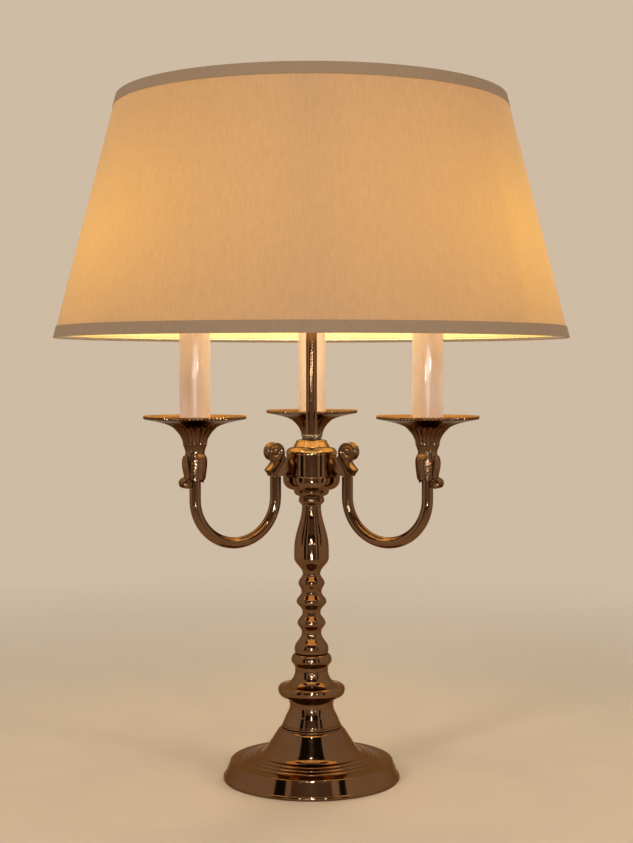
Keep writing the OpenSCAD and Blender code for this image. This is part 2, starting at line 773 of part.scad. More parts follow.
module bulb_cap() {
    color("goldenrod") at_candle(bulb_cap_z) union() {
        cylinder(r1 = 2.4, r2 = bulb_cap_r - 1.4, h = 3);
        translate([0, 0, 3]) cylinder(r = bulb_cap_r, h = bulb_cap_top_z - bulb_cap_z - 3);
    }
}

module bulb_glass() {
    belly_h = bulb_h * 0.33;
    outer = tidy(stack([
        ogee(bulb_neck_r, bulb_r, belly_h, 0.8, 12),
        ogee(bulb_r, 2.2, bulb_h - belly_h - 1.4, 1.05, 16),
        up_over(2.2, 0.01, 1.4, 4)]));
    inner = [for (p = outer) if (p[0] > 1.4) [p[0] - bulb_wall, p[1]]];
    tip = inner[len(inner) - 1];
    color("lightyellow", 0.7) at_candle(bulb_cap_top_z + fit) rotate_extrude() polygon(concat(
        outer, [[0, bulb_h], [0, tip[1] - 1], [tip[0], tip[1] - 1]],
        [for (i = [len(inner) - 2:-1:0]) inner[i]]));
}

// ---- Wiring ----

module lead_section() { square([lead_t, lead_w], center = true); }

module arm_leads() {
    run_in = splice_x - connector_r;
    color("ivory") on_arms() union() {
        half_bend(bend_r) lead_section();
        for (leg = [[arm_root, bracket_z], [arm_reach, lead_top_z]])
            translate([leg[0] - lead_t / 2, -lead_w / 2, bend_z]) cube([lead_t, lead_w, leg[1] - bend_z]);
        lead_elbow(bracket_z) lead_section();
        translate([run_in, -lead_w / 2, connector_top_z])
            cube([arm_root - lead_bore_z - run_in, lead_w, lead_t]);
    }
}

module trunk_lead() {
    color("ivory") translate([0, 0, weight_floor_z + trunk_r]) union() {
        cylinder(r = trunk_r, h = window_z - weight_floor_z - trunk_r + 3);
        rotate([-90, 0, 0]) cylinder(r = trunk_r, h = base_r - 16);
        sphere(r = trunk_r);
        translate([0, 0, splice_z - weight_floor_z - trunk_r]) union() {
            rotate([0, 90, 0]) cylinder(r = splice_r - 0.15, h = splice_x);
            translate([splice_x, 0, 0]) sphere(r = splice_r + 0.3);
            rotate_extrude(angle = splice_sweep) translate([splice_x, 0]) circle(r = splice_r);
        }
    }
}

module wire_connectors() {
    color("orange") on_arms() translate([splice_x, 0, connector_z])
        cylinder(r1 = connector_r - 0.8, r2 = connector_r, h = connector_top_z - connector_z);
}

// ---- Riser and shade ----

module riser_rod() {
    color("dimgray") translate([0, 0, rod_join_z]) pipe(rod_r, rod_bore_d / 2, riser_top_z - rod_join_z);
}

module finial() {
    color("dimgray") translate([0, 0, finial_z]) difference() {
        turned(stack([
            straight(rod_r + 3, rod_r + 3, 2),
            ogee(rod_r + 3, rod_r + 1.2, 2.4, 1, 5),
            ogee(rod_r + 1.2, rod_r + 3.6, 4.2, 1, 6),
            up_over(rod_r + 3.6, 2.4, 6.2, 8),
            over_up(2.4, 0.4, finial_h - 14.8, 4)]), 0.2);
        translate([0, 0, -1]) cylinder(r = bore_r, h = finial_grip + 1);
    }
}

module shade_collar() {
    color("gray") difference() {
        union() {
            translate([0, 0, collar_z]) cylinder(r = collar_body_r, h = collar_h);
            translate([0, 0, collar_flange_z]) cylinder(r = collar_flange_r, h = collar_flange_t);
            translate([0, 0, key_z]) rotate([90, 0, 0]) cylinder(r = key_boss_r, h = key_boss_h);
        }
        translate([0, 0, collar_z - 1]) cylinder(r = collar_bore_r, h = collar_h + 2);
        translate([0, 0, key_z]) rotate([90, 0, 0]) cylinder(r = key_r + slide_clear, h = key_boss_h + 2);
    }
}

module collar_nut() {
    color("gray") translate([0, 0, collar_nut_z])
        pipe(collar_flange_r - 0.6, collar_body_r + slide_clear, collar_nut_h);
}

// Screw with a flat bow like a key's, whose tip presses on the riser
module clamp_key() {
    tip = rod_r + 0.15;
    color("gray") translate([0, 0, key_z]) rotate([90, 0, 0]) union() {
        translate([0, 0, tip]) cylinder(r = key_r, h = key_bow_x - tip - 5);
        translate([0, 0, key_boss_h + 0.4]) cylinder(r = key_r + 1.4, h = key_neck_h);
        translate([0, 0, key_bow_x]) rotate([90, 0, 0]) cylinder(r = key_bow_r, h = key_bow_t, center = true);
    }
}

module wire_ring(r, z, section_r) {
    translate([0, 0, z]) rotate_extrude() translate([r, 0]) circle(r = section_r);
}

// A spoke in its own upright plane: level from the washer, one bend, then straight up to the ring
module spoke() {
    run = [top_wire_r - spider_knee_r, top_wire_z - spider_z - spider_washer_t / 2];
    rise = atan2(run[1], run[0]);
    bend = 12;
    past_knee = bend * tan(rise / 2);
    root = spider_washer_r + weld_gap;
    translate([root, 0, 0]) rotate([0, 90, 0]) cylinder(r = spoke_r, h = spider_knee_r - past_knee - root);
    translate([spider_knee_r - past_knee, 0, bend]) rotate([90, 0, 0]) rotate([0, 0, -90])
        rotate_extrude(angle = rise) translate([bend, 0]) circle(r = spoke_r);
    translate([spider_knee_r, 0, 0]) rotate([0, 90 - rise, 0]) translate([0, 0, past_knee - 4 * spoke_step])
        cylinder(r = spoke_r - spoke_step, h = norm(run) - past_knee + 4 * spoke_step);
}

// A washer and three welded spokes, whose outer ends are shaped to the ring that they are welded to
module shade_spider() {
    color("silver") difference() {
        union() {
            translate([0, 0, spider_z]) pipe(spider_washer_r, collar_body_r + spider_clear, spider_washer_t);
            for (a = spider_angles)
                rotate([0, 0, a]) translate([0, 0, spider_z + spider_washer_t / 2]) spoke();
        }
        wire_ring(top_wire_r, top_wire_z, wire_r + weld_gap);
    }
}

module shade_upper_ring() { color("silver") wire_ring(top_wire_r, top_wire_z, wire_r); }

module shade_lower_ring() { color("silver") wire_ring(bottom_wire_r, bottom_wire_z, wire_r); }

// A band of the shade's cone, from in_low to in_high inside the shade's outer face, between two heights
module cone_band(in_low, in_high, low_z, high_z) {
    function face(z) = shade_bottom_r - shade_lean * (z - shade_z);
    rotate_extrude() polygon([
        [face(low_z) - in_low, low_z], [face(low_z) - in_high, low_z],
        [face(high_z) - in_high, high_z], [face(high_z) - in_low, high_z]]);
}

module shade_liner() {
    color("white") cone_band(skin_t + trim_t, fabric_t + trim_t, shade_z + trim_t, shade_top_z - trim_t);
}

module shade_fabric() {
    color("wheat") cone_band(fabric_t + trim_t, trim_t, shade_z + trim_t, shade_top_z - trim_t);
}

// Tape over an edge of the shade: a band outside, and a fold across the edge
module trim(band_z, fold_z) {
    color("tan") union() {
        cone_band(trim_t, 0, band_z, band_z + trim_w);
        cone_band(skin_t + trim_t, 0, fold_z, fold_z + trim_t);
    }
}

module shade_top_trim() { trim(shade_top_z - trim_w, shade_top_z - trim_t); }

module shade_bottom_trim() { trim(shade_z, shade_z); }

felt_pad();
base_shell();
base_weight();
cord_bushing();
base_washer();
rod_nuts();
threaded_rod();
column_foot();
column_knop();
column_ring();
column_cushion();
beaded_stem();
baluster();
hub_bowl();
hub_drum();
hub_cap();
rod_coupling();
lock_ring();
bracket_screws();
pan_nuts();
socket_straps();
socket_bodies();
socket_shells();
socket_contacts();
arm_leads();
trunk_lead();
wire_connectors();
riser_rod();
finial();
shade_collar();
collar_nut();
clamp_key();
shade_spider();
shade_upper_ring();
shade_lower_ring();
shade_liner();
shade_fabric();
shade_top_trim();
shade_bottom_trim();
for (arm = ARMS) on_arm(arm[1]) {
    scroll_bracket();
    arm_tube();
    candle_cup();
    drip_pan();
    candle_sleeve();
    bulb_glass();
    bulb_cap();
}
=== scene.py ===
"""A three-arm candlestick lamp dressed over its solids: turned bronze, cast leaves, candles, a lit shade."""

from math import atan2, cos, exp, hypot, pi, radians, sin, sqrt, tau

import bpy
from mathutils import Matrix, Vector


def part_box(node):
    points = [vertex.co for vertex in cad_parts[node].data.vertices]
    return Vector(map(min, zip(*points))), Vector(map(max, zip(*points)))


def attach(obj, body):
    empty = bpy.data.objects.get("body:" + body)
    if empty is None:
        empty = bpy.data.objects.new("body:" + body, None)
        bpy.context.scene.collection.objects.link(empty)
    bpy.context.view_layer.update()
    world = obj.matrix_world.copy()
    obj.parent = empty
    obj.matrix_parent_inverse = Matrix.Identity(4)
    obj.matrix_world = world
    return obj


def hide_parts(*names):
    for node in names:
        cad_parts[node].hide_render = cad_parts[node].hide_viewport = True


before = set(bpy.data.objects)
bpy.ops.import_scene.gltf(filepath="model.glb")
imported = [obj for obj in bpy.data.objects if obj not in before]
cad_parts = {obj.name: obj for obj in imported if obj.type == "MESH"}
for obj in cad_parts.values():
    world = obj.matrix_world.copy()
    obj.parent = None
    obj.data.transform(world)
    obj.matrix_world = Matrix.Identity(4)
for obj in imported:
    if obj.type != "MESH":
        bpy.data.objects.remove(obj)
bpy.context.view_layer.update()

MM = 0.001
ARMS = {"rear": 90, "left": 210, "right": 330}

# Steps round a turned piece
ROUND = 112
FOOT_ROUND = 160
PAN_ROUND = 480
SHADE_ROUND = 288
KNURL_ROUND = 180

# Shared radii in millimetres, as on the solids
BORE_R = 5.1
TUBE_R = 5.0
TUBE_WALL = 1.0
FOOT_WALL = 1.2


def span(node):
    """Lower height, upper height and largest radius of a turned solid, in millimetres."""
    low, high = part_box(node)
    return low.z / MM, high.z / MM, (high.x - low.x) / 2 / MM


# ---- Working in Blender ----

def pick(obj):
    bpy.ops.object.select_all(action="DESELECT")
    obj.select_set(True)
    bpy.context.view_layer.objects.active = obj


def started(name):
    """The primitive that was just added, with its name on it and on its mesh."""
    obj = bpy.context.object
    obj.name = name
    obj.data.name = name
    return obj


def apply_modifier(obj, kind, **settings):
    pick(obj)
    modifier = obj.modifiers.new(kind.lower(), kind)
    for key, value in settings.items():
        setattr(modifier, key, value)
    bpy.ops.object.modifier_apply(modifier=modifier.name)


def cut_out(obj, tool, tries=6):
    """Cuts the tool's shape out of a piece, or leaves it uncut where the solver keeps returning nothing."""
    whole = obj.data.copy()
    for _ in range(tries):
        apply_modifier(obj, "BOOLEAN", object=tool, operation="DIFFERENCE", solver="EXACT")
        if len(obj.data.polygons) > len(whole.polygons) / 2:
            break
        obj.data = whole.copy()
    bpy.data.objects.remove(tool)


def smooth(obj, angle=34):
    pick(obj)
    bpy.ops.object.shade_smooth_by_angle(angle=radians(angle))


def settle(obj):
    """Puts the object's place, turn and size into its mesh."""
    pick(obj)
    bpy.ops.object.transform_apply(location=True, rotation=True, scale=True)


def mend(obj, merge=0.002):
    """Merges doubled points and turns every face outwards."""
    pick(obj)
    bpy.ops.object.mode_set(mode="EDIT")
    bpy.ops.mesh.select_all(action="SELECT")
    bpy.ops.mesh.remove_doubles(threshold=merge * MM)
    bpy.ops.mesh.normals_make_consistent(inside=False)
    bpy.ops.object.mode_set(mode="OBJECT")


def join(name, pieces):
    bpy.ops.object.select_all(action="DESELECT")
    for piece in pieces:
        piece.select_set(True)
    bpy.context.view_layer.objects.active = pieces[0]
    bpy.ops.object.join()
    pieces[0].name = name
    return pieces[0]


# ---- Outlines: lists of (radius, height) in millimetres ----

def up_over(r0, r1, h, n=10):
    """Leaves upright and arrives level."""
    return [(r0 + (r1 - r0) * (1 - cos(pi / 2 * i / n)), h * sin(pi / 2 * i / n)) for i in range(n + 1)]


def over_up(r0, r1, h, n=10):
    """Leaves level and arrives upright."""
    return [(r0 + (r1 - r0) * sin(pi / 2 * i / n), h * (1 - cos(pi / 2 * i / n))) for i in range(n + 1)]


def ogee(r0, r1, h, power=1.0, n=18):
    """Leaves and arrives upright; with a high power it keeps longer to r0."""
    return [(r0 + (r1 - r0) * ((1 - cos(pi * i / n)) / 2) ** power, h * i / n) for i in range(n + 1)]


def flare(r0, r1, h, n=10):
    """Leaves on a slant and arrives upright."""
    return [(r0 + (r1 - r0) * sin(pi / 2 * i / n), h * i / n) for i in range(n + 1)]


def straight(r0, r1, h):
    return [(r0, 0.0), (r1, h)]


def swept(start, corner, end, n=10):
    """A curve from start to end that leaves towards the corner and arrives from it."""
    return [tuple(a * (1 - t) ** 2 + b * 2 * t * (1 - t) + c * t * t for a, b, c in zip(start, corner, end))
            for t in (i / n for i in range(n + 1))]


def stack(*outlines, z=0.0):
    """Puts outlines on top of each other and drops points that repeat."""
    points = []
    for outline in outlines:
        for r, height in outline:
            if not points or hypot(r - points[-1][0], z + height - points[-1][1]) > 0.002:
                points.append((r, z + height))
        z += outline[-1][1]
    return points


def softened(points, size, closed=True, sharp=26, steps=3):
    """The outline with each sharp corner rounded off."""
    result = []
    for i, here in enumerate(points):
        back = Vector(points[i - 1]) - Vector(here)
        ahead = Vector(points[(i + 1) % len(points)]) - Vector(here)
        at_end = not closed and i in (0, len(points) - 1)
        if at_end or min(back.length, ahead.length) < 1e-6 or pi - back.angle(ahead) < radians(sharp):
            result.append(tuple(here))
            continue
        start = Vector(here) + back.normalized() * min(size, back.length * 0.45)
        end = Vector(here) + ahead.normalized() * min(size, ahead.length * 0.45)
        for k in range(steps + 1):
            t = k / steps
            result.append(tuple(start * (1 - t) ** 2 + Vector(here) * 2 * t * (1 - t) + end * t * t))
    return held(result, closed)


def held(points, closed, long=2.5, inside=0.25):
    """The outline with a point just inside each end of its long straights, so that they shade flat."""
    result = []
    for i, here in enumerate(points):
        result.append(here)
        if i == len(points) - 1 and not closed:
            break
        start, end = Vector(here), Vector(points[(i + 1) % len(points)])
        if (end - start).length > long:
            step = (end - start).normalized() * inside
            result += [tuple(start + step), tuple(end - step)]
    return result


def lathe(name, outline, steps=ROUND, closed=True):
    """Turns an outline round the upright axis. An open outline starts and ends on the axis."""
    bpy.ops.object.select_all(action="DESELECT")
    bpy.ops.mesh.primitive_circle_add(vertices=len(outline), radius=1, fill_type="NOTHING",
                                      location=(0, 0, 0))
    obj = started(name)
    for vertex, (r, z) in zip(obj.data.vertices, outline):
        vertex.co = (r * MM, 0, z * MM)
    if not closed:
        ends = {0, len(outline) - 1}
        for part in (*obj.data.vertices, *obj.data.edges):
            part.select = False
        for edge in obj.data.edges:
            edge.select = set(edge.vertices) == ends
        bpy.ops.object.mode_set(mode="EDIT")
        bpy.ops.mesh.select_mode(type="EDGE")
        bpy.ops.mesh.delete(type="EDGE_FACE")
        bpy.ops.mesh.select_mode(type="VERT")
        bpy.ops.object.mode_set(mode="OBJECT")
    bpy.ops.object.mode_set(mode="EDIT")
    bpy.ops.mesh.select_all(action="SELECT")
    bpy.ops.mesh.spin(steps=steps, angle=tau, center=(0, 0, 0), axis=(0, 0, 1))
    bpy.ops.object.mode_set(mode="OBJECT")
    mend(obj)
    smooth(obj)
    return obj


def grid_form(name, along, across, place, thickness=0.0, offset=0.0, rounding=0.0, levels=0):
    """A grid whose points go where place(t, u) says, t along it from 0 to 1 and u across it from -1 to 1."""
    bpy.ops.object.select_all(action="DESELECT")
    bpy.ops.mesh.primitive_grid_add(x_subdivisions=along, y_subdivisions=across, size=2, location=(0, 0, 0))
    obj = started(name)
    for vertex in obj.data.vertices:
        vertex.co = Vector(place((vertex.co.x + 1) / 2, vertex.co.y)) * MM
    if thickness:
        apply_modifier(obj, "SOLIDIFY", thickness=thickness * MM, offset=offset, use_even_offset=True)
    if rounding:
        apply_modifier(obj, "BEVEL", width=rounding * MM, segments=2, limit_method="ANGLE",
                       angle_limit=radians(50))
    if levels:
        apply_modifier(obj, "SUBSURF", levels=levels, render_levels=levels)
    mend(obj)
    smooth(obj)
    return obj


def plate(name, outline, width, edge=0.5, inset=0.0, depth=0.0):
    """A cast plate in the arm's upright plane, with sunk sides and rounded edges."""
    bpy.ops.object.select_all(action="DESELECT")
    bpy.ops.mesh.primitive_circle_add(vertices=len(outline), radius=1, fill_type="NGON", location=(0, 0, 0))
    obj = started(name)
    for vertex, (x, z) in zip(obj.data.vertices, outline):
        vertex.co = (x * MM, -width / 2 * MM, z * MM)
    bpy.ops.object.mode_set(mode="EDIT")
    bpy.ops.mesh.select_all(action="SELECT")
    bpy.ops.mesh.extrude_region_move(TRANSFORM_OT_translate={"value": (0, width * MM, 0)})
    bpy.ops.mesh.select_all(action="SELECT")
    bpy.ops.mesh.normals_make_consistent(inside=False)
    if inset:
        bpy.ops.mesh.select_all(action="DESELECT")
        bpy.ops.object.mode_set(mode="OBJECT")
        for face in obj.data.polygons:
            face.select = abs(face.normal.y) > 0.9
        bpy.ops.object.mode_set(mode="EDIT")
        bpy.ops.mesh.select_mode(type="FACE")
        bpy.ops.mesh.inset(thickness=inset * MM, depth=-depth * MM)
        bpy.ops.mesh.select_mode(type="VERT")
    bpy.ops.object.mode_set(mode="OBJECT")
    apply_modifier(obj, "BEVEL", width=edge * MM, segments=3, limit_method="ANGLE", angle_limit=radians(28))
    mend(obj)
    smooth(obj)
    return obj


# ---- Materials ----

class Finish:
    """A material under construction, with its main shader and short ways to add nodes."""

    def __init__(self, name, colour, roughness=0.5, metallic=0.0, **sockets):
        self.material = bpy.data.materials.new(name)
        self.material.use_nodes = True
        self.tree = self.material.node_tree
        self.shader = self.tree.nodes["Principled BSDF"]
        self.set(self.shader, "Base Color", (*colour, 1))
        self.set(self.shader, "Roughness", roughness)
        self.set(self.shader, "Metallic", metallic)
        for socket, value in sockets.items():
            self.set(self.shader, socket.replace("_", " "), value)
        self.place = self.tree.nodes.new("ShaderNodeTexCoord").outputs["Object"]

    def set(self, node, socket, value):
        node.inputs[socket].default_value = value

    def link(self, output, target):
        self.tree.links.new(output, target)

    def noise(self, scale, detail=3.0, stretch=(1, 1, 1), rough=0.5):
        """Noise in the object's own space, stretched along its axes."""
        mapping = self.tree.nodes.new("ShaderNodeMapping")
        mapping.inputs["Scale"].default_value = stretch
        self.link(self.place, mapping.inputs["Vector"])
        node = self.tree.nodes.new("ShaderNodeTexNoise")
        self.set(node, "Scale", scale)
        self.set(node, "Detail", detail)
        self.set(node, "Roughness", rough)
        self.link(mapping.outputs["Vector"], node.inputs["Vector"])
        return node.outputs["Fac"]

    def shades(self, value, dark, light, low=0.3, high=0.7):
        """Colours between dark and light as value goes from low to high."""
        node = self.tree.nodes.new("ShaderNodeValToRGB")
        node.color_ramp.elements[0].position = low
        node.color_ramp.elements[0].color = (*dark, 1)
        node.color_ramp.elements[1].position = high
        node.color_ramp.elements[1].color = (*light, 1)
        self.link(value, node.inputs["Fac"])
        return node.outputs["Color"]

    def between(self, value, low, high, start=0.3, end=0.7):
        node = self.tree.nodes.new("ShaderNodeMapRange")
        for socket, number in (("From Min", start), ("From Max", end), ("To Min", low), ("To Max", high)):
            self.set(node, socket, number)
        self.link(value, node.inputs["Value"])
        return node.outputs["Result"]

    def bump(self, value, depth, strength=1.0, after=None):
        node = self.tree.nodes.new("ShaderNodeBump")
        self.set(node, "Strength", strength)
        self.set(node, "Distance", depth * MM)
        self.link(value, node.inputs["Height"])
        if after:
            self.link(after, node.inputs["Normal"])
        return node.outputs["Normal"]

    def colour(self, output):
        self.link(output, self.shader.inputs["Base Color"])
        return self

    def roughness(self, output):
        self.link(output, self.shader.inputs["Roughness"])
        return self

    def relief(self, output):
        self.link(output, self.shader.inputs["Normal"])
        return self


def polished_bronze(name, dark, light):
    """Lacquered bronze with faint clouding and hairline polish marks."""
    finish = Finish(name, light, 0.08, 1.0, Specular_Tint=(0.6, 0.48, 0.4, 1))
    finish.colour(finish.shades(finish.noise(38, 4), dark, light))
    finish.roughness(finish.between(finish.noise(210, 5), 0.055, 0.1))
    finish.relief(finish.bump(finish.noise(900, 2, (1, 1, 6)), 0.003, 0.2))
    return finish.material


def cast_bronze():
    """The same bronze where it is cast: rougher, with painted shade that darkens the faces pointing down and
    a painted reflection that brightens the faces pointing up.
    """
    finish = Finish("cast_bronze", BRONZE, 0.15, 1.0, Specular_Tint=(0.5, 0.4, 0.32, 1))
    facing = finish.tree.nodes.new("ShaderNodeSeparateXYZ")
    finish.link(finish.tree.nodes.new("ShaderNodeNewGeometry").outputs["Normal"], facing.inputs["Vector"])
    # Painted shade: the colour darkens where the face points down.
    painted_underside_shade = finish.tree.nodes.new("ShaderNodeMixRGB")
    painted_underside_shade.blend_type = "MULTIPLY"
    finish.set(painted_underside_shade, "Color2", (0.46, 0.4, 0.36, 1))
    finish.link(finish.between(facing.outputs["Z"], 1.0, 0.0, -0.55, -0.1), painted_underside_shade.inputs["Fac"])
    finish.link(finish.shades(finish.noise(120, 5), BRONZE_DEEP, BRONZE_WARM), painted_underside_shade.inputs["Color1"])
    # Painted reflection: the colour brightens towards a pale gold where the face points up.
    painted_upward_reflection = finish.tree.nodes.new("ShaderNodeMixRGB")
    finish.set(painted_upward_reflection, "Color2", (*BRONZE_PAINTED_GLOW, 1))
    finish.link(finish.between(facing.outputs["Z"], 0.0, 1.0, 0.25, 0.7), painted_upward_reflection.inputs["Fac"])
    finish.link(painted_underside_shade.outputs["Color"], painted_upward_reflection.inputs["Color1"])
    finish.colour(painted_upward_reflection.outputs["Color"])
    finish.roughness(finish.between(finish.noise(400, 4), 0.1, 0.2))
    finish.relief(finish.bump(finish.noise(520, 3), 0.02, 0.35))
    return finish.material


def metal(name, dark, light, rough_low, rough_high, scale=160, stretch=(1, 1, 1), depth=0.01):
    finish = Finish(name, light, rough_high, 1.0)
    finish.colour(finish.shades(finish.noise(scale, 4, stretch), dark, light))
    finish.roughness(finish.between(finish.noise(scale * 3, 3, stretch), rough_low, rough_high))
    finish.relief(finish.bump(finish.noise(scale * 5, 2, stretch), depth, 0.4))
    return finish.material


def matte(name, dark, light, roughness, scale=200, depth=0.02, stretch=(1, 1, 1), **sockets):
    finish = Finish(name, light, roughness, 0.0, **sockets)
    finish.colour(finish.shades(finish.noise(scale, 4, stretch), dark, light))
    finish.roughness(finish.between(finish.noise(scale * 2, 3), roughness - 0.06, roughness + 0.06))
    finish.relief(finish.bump(finish.noise(scale * 4, 3, stretch), depth, 0.6))
    return finish.material


def candle_ivory():
    """Smooth ivory plastic with a gloss coat."""
    finish = Finish("candle_ivory", IVORY, 0.28, 0.0, Coat_Weight=0.8, Coat_Roughness=0.03)
    finish.colour(finish.shades(finish.noise(9, 2, (1, 1, 0.3)), IVORY_DEEP, IVORY))
    return finish.material


def through_cloth(name, dark, light, glow, share, slub=0.05):
    """Woven cloth: upright slubs, fine level threads, and light that comes through from the other side."""
    finish = Finish(name, light, 0.8, 0.0, Sheen_Weight=0.25, Sheen_Roughness=0.4)
    slubs = finish.noise(420, 3, (1, 1, 0.035), 0.6)
    weft = finish.noise(900, 2, (0.06, 0.06, 1.4))
    finish.colour(finish.shades(slubs, dark, light, 0.3, 0.7))
    finish.relief(finish.bump(weft, 0.05, 0.4, finish.bump(slubs, slub, 0.5)))
    through = finish.tree.nodes.new("ShaderNodeBsdfTranslucent")
    finish.link(finish.shades(slubs, [c * 0.9 for c in glow], glow, 0.3, 0.7), through.inputs["Color"])
    mix = finish.tree.nodes.new("ShaderNodeMixShader")
    finish.set(mix, "Fac", share)
    finish.link(finish.shader.outputs["BSDF"], mix.inputs[1])
    finish.link(through.outputs["BSDF"], mix.inputs[2])
    finish.link(mix.outputs["Shader"], finish.tree.nodes["Material Output"].inputs["Surface"])
    return finish.material


def open_to_light(source, name):
    """A copy of a cloth material for its inner face, which lets the bulbs' light reach the outer face."""
    material = source.copy()
    material.name = name
    tree = material.node_tree
    output = tree.nodes["Material Output"].inputs["Surface"]
    front = output.links[0].from_socket
    clear = tree.nodes.new("ShaderNodeBsdfTransparent")
    path = tree.nodes.new("ShaderNodeLightPath")
    mix = tree.nodes.new("ShaderNodeMixShader")
    tree.links.new(path.outputs["Is Shadow Ray"], mix.inputs["Fac"])
    tree.links.new(front, mix.inputs[1])
    tree.links.new(clear.outputs["BSDF"], mix.inputs[2])
    tree.links.new(mix.outputs["Shader"], output)
    return material


def lit_glass():
    """Frosted glass of a lit candle bulb."""
    finish = Finish("lit_glass", (0.95, 0.9, 0.8), 0.35, 0.0, Emission_Strength=GLASS_GLOW)
    finish.link(finish.shades(finish.noise(30, 2), (1.0, 0.72, 0.38), (1.0, 0.8, 0.5)),
                finish.shader.inputs["Emission Color"])
    finish.relief(finish.bump(finish.noise(900, 2), 0.01, 0.3))
    return finish.material


# Colours, in the renderer's own linear values
BRONZE = (0.22, 0.126, 0.07)
BRONZE_WARM = (0.24, 0.137, 0.075)
BRONZE_DEEP = (0.185, 0.104, 0.058)
# Painted reflection: a brighter, golder bronze that stands for the lit shade seen in upward faces and in the
# hub cap.
BRONZE_PAINTED_GLOW = (0.34, 0.225, 0.112)
IVORY = (0.61, 0.5, 0.48)
IVORY_DEEP = (0.595, 0.488, 0.465)
FABRIC = (0.585, 0.335, 0.225)
FABRIC_DEEP = (0.54, 0.308, 0.205)
FABRIC_GLOW = (0.57, 0.42, 0.02)
TAPE = (0.36, 0.235, 0.138)
TAPE_DEEP = (0.325, 0.212, 0.125)
GLASS_GLOW = 7.0
CLOTH_SHARE = 0.25

BRONZE_METAL = polished_bronze("polished_bronze", BRONZE_DEEP, BRONZE)
# The hub cap gets the brighter bronze all over, a painted reflection of the lit shade above it.
CAP_METAL = polished_bronze("cap_bronze_painted_glow", BRONZE_PAINTED_GLOW, [c * 1.1 for c in BRONZE_PAINTED_GLOW])
CAST_METAL = cast_bronze()
STEEL = metal("plated_steel", (0.42, 0.42, 0.41), (0.6, 0.59, 0.57), 0.22, 0.4)
WIRE = metal("frame_wire", (0.5, 0.44, 0.33), (0.66, 0.58, 0.44), 0.25, 0.4, 240)
BRASS = metal("brass", (0.55, 0.38, 0.14), (0.75, 0.54, 0.24), 0.2, 0.35)
KNURLED = metal("knurled_bronze", (0.12, 0.095, 0.075), (0.21, 0.17, 0.135), 0.14, 0.28, 300)
IRON = matte("cast_iron", (0.025, 0.025, 0.025), (0.06, 0.06, 0.06), 0.75, 300, 0.2)
FELT = matte("felt", (0.015, 0.035, 0.02), (0.03, 0.07, 0.04), 0.95, 900, 0.3)
BLACK_PLASTIC = matte("black_plastic", (0.012, 0.012, 0.012), (0.022, 0.022, 0.022), 0.42)
LEAD_VINYL = matte("lead_vinyl", (0.55, 0.5, 0.4), (0.64, 0.58, 0.48), 0.45)
ORANGE_PLASTIC = matte("orange_plastic", (0.62, 0.19, 0.03), (0.75, 0.26, 0.05), 0.4)
CERAMIC = matte("ceramic", (0.68, 0.66, 0.6), (0.78, 0.76, 0.7), 0.35)
SLEEVE_IVORY = candle_ivory()
LIT_GLASS = lit_glass()
LINER = matte("liner_card", (0.76, 0.63, 0.4), (0.83, 0.69, 0.45), 0.7, 60, 0.01)
TAPE_CLOTH = matte("trim_tape", TAPE_DEEP, TAPE, 0.85, 420, 0.02, (1, 1, 0.3))
CLOTH = through_cloth("shade_cloth", FABRIC_DEEP, FABRIC, FABRIC_GLOW, CLOTH_SHARE)
CLOTH_INSIDE = open_to_light(CLOTH, "shade_cloth_inside")


def dress(obj, *materials):
    obj.data.materials.clear()
    for material in materials:
        obj.data.materials.append(material)


def hand_over(obj, material, body, slot, *nodes):
    """Gives a finished piece its material and its body, and hides the solids that it stands for. The slot is
    not used.
    """
    if material:
        dress(obj, material)
    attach(obj, body)
    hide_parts(*nodes)
    return obj


def for_each_arm(model, name, material, body, slot, node):
    """Copies a piece that is modelled along +X to each arm."""
    for arm, angle in ARMS.items():
        piece = model.copy()
        piece.data = model.data.copy()
        bpy.context.collection.objects.link(piece)
        piece.name = f"{name}_{arm}"
        piece.data.name = piece.name
        piece.rotation_euler.z = radians(angle)
        settle(piece)
        hand_over(piece, material, body.format(arm), slot, f"{node}_{arm}")
    bpy.data.objects.remove(model)


def move(obj, x=0.0, z=0.0):
    """Moves a piece in millimetres and keeps its place in its mesh."""
    obj.location = (x * MM, 0, z * MM)
    settle(obj)
    return obj


# ---- Foot ----

# The cord's inlet: its place at the back of the foot, its hole, and how far it leans back from upright
INLET_Y = 76.7
INLET_Z = 9.4
INLET_R = 4.2
INLET_DEPTH = 15
INLET_TILT = 70


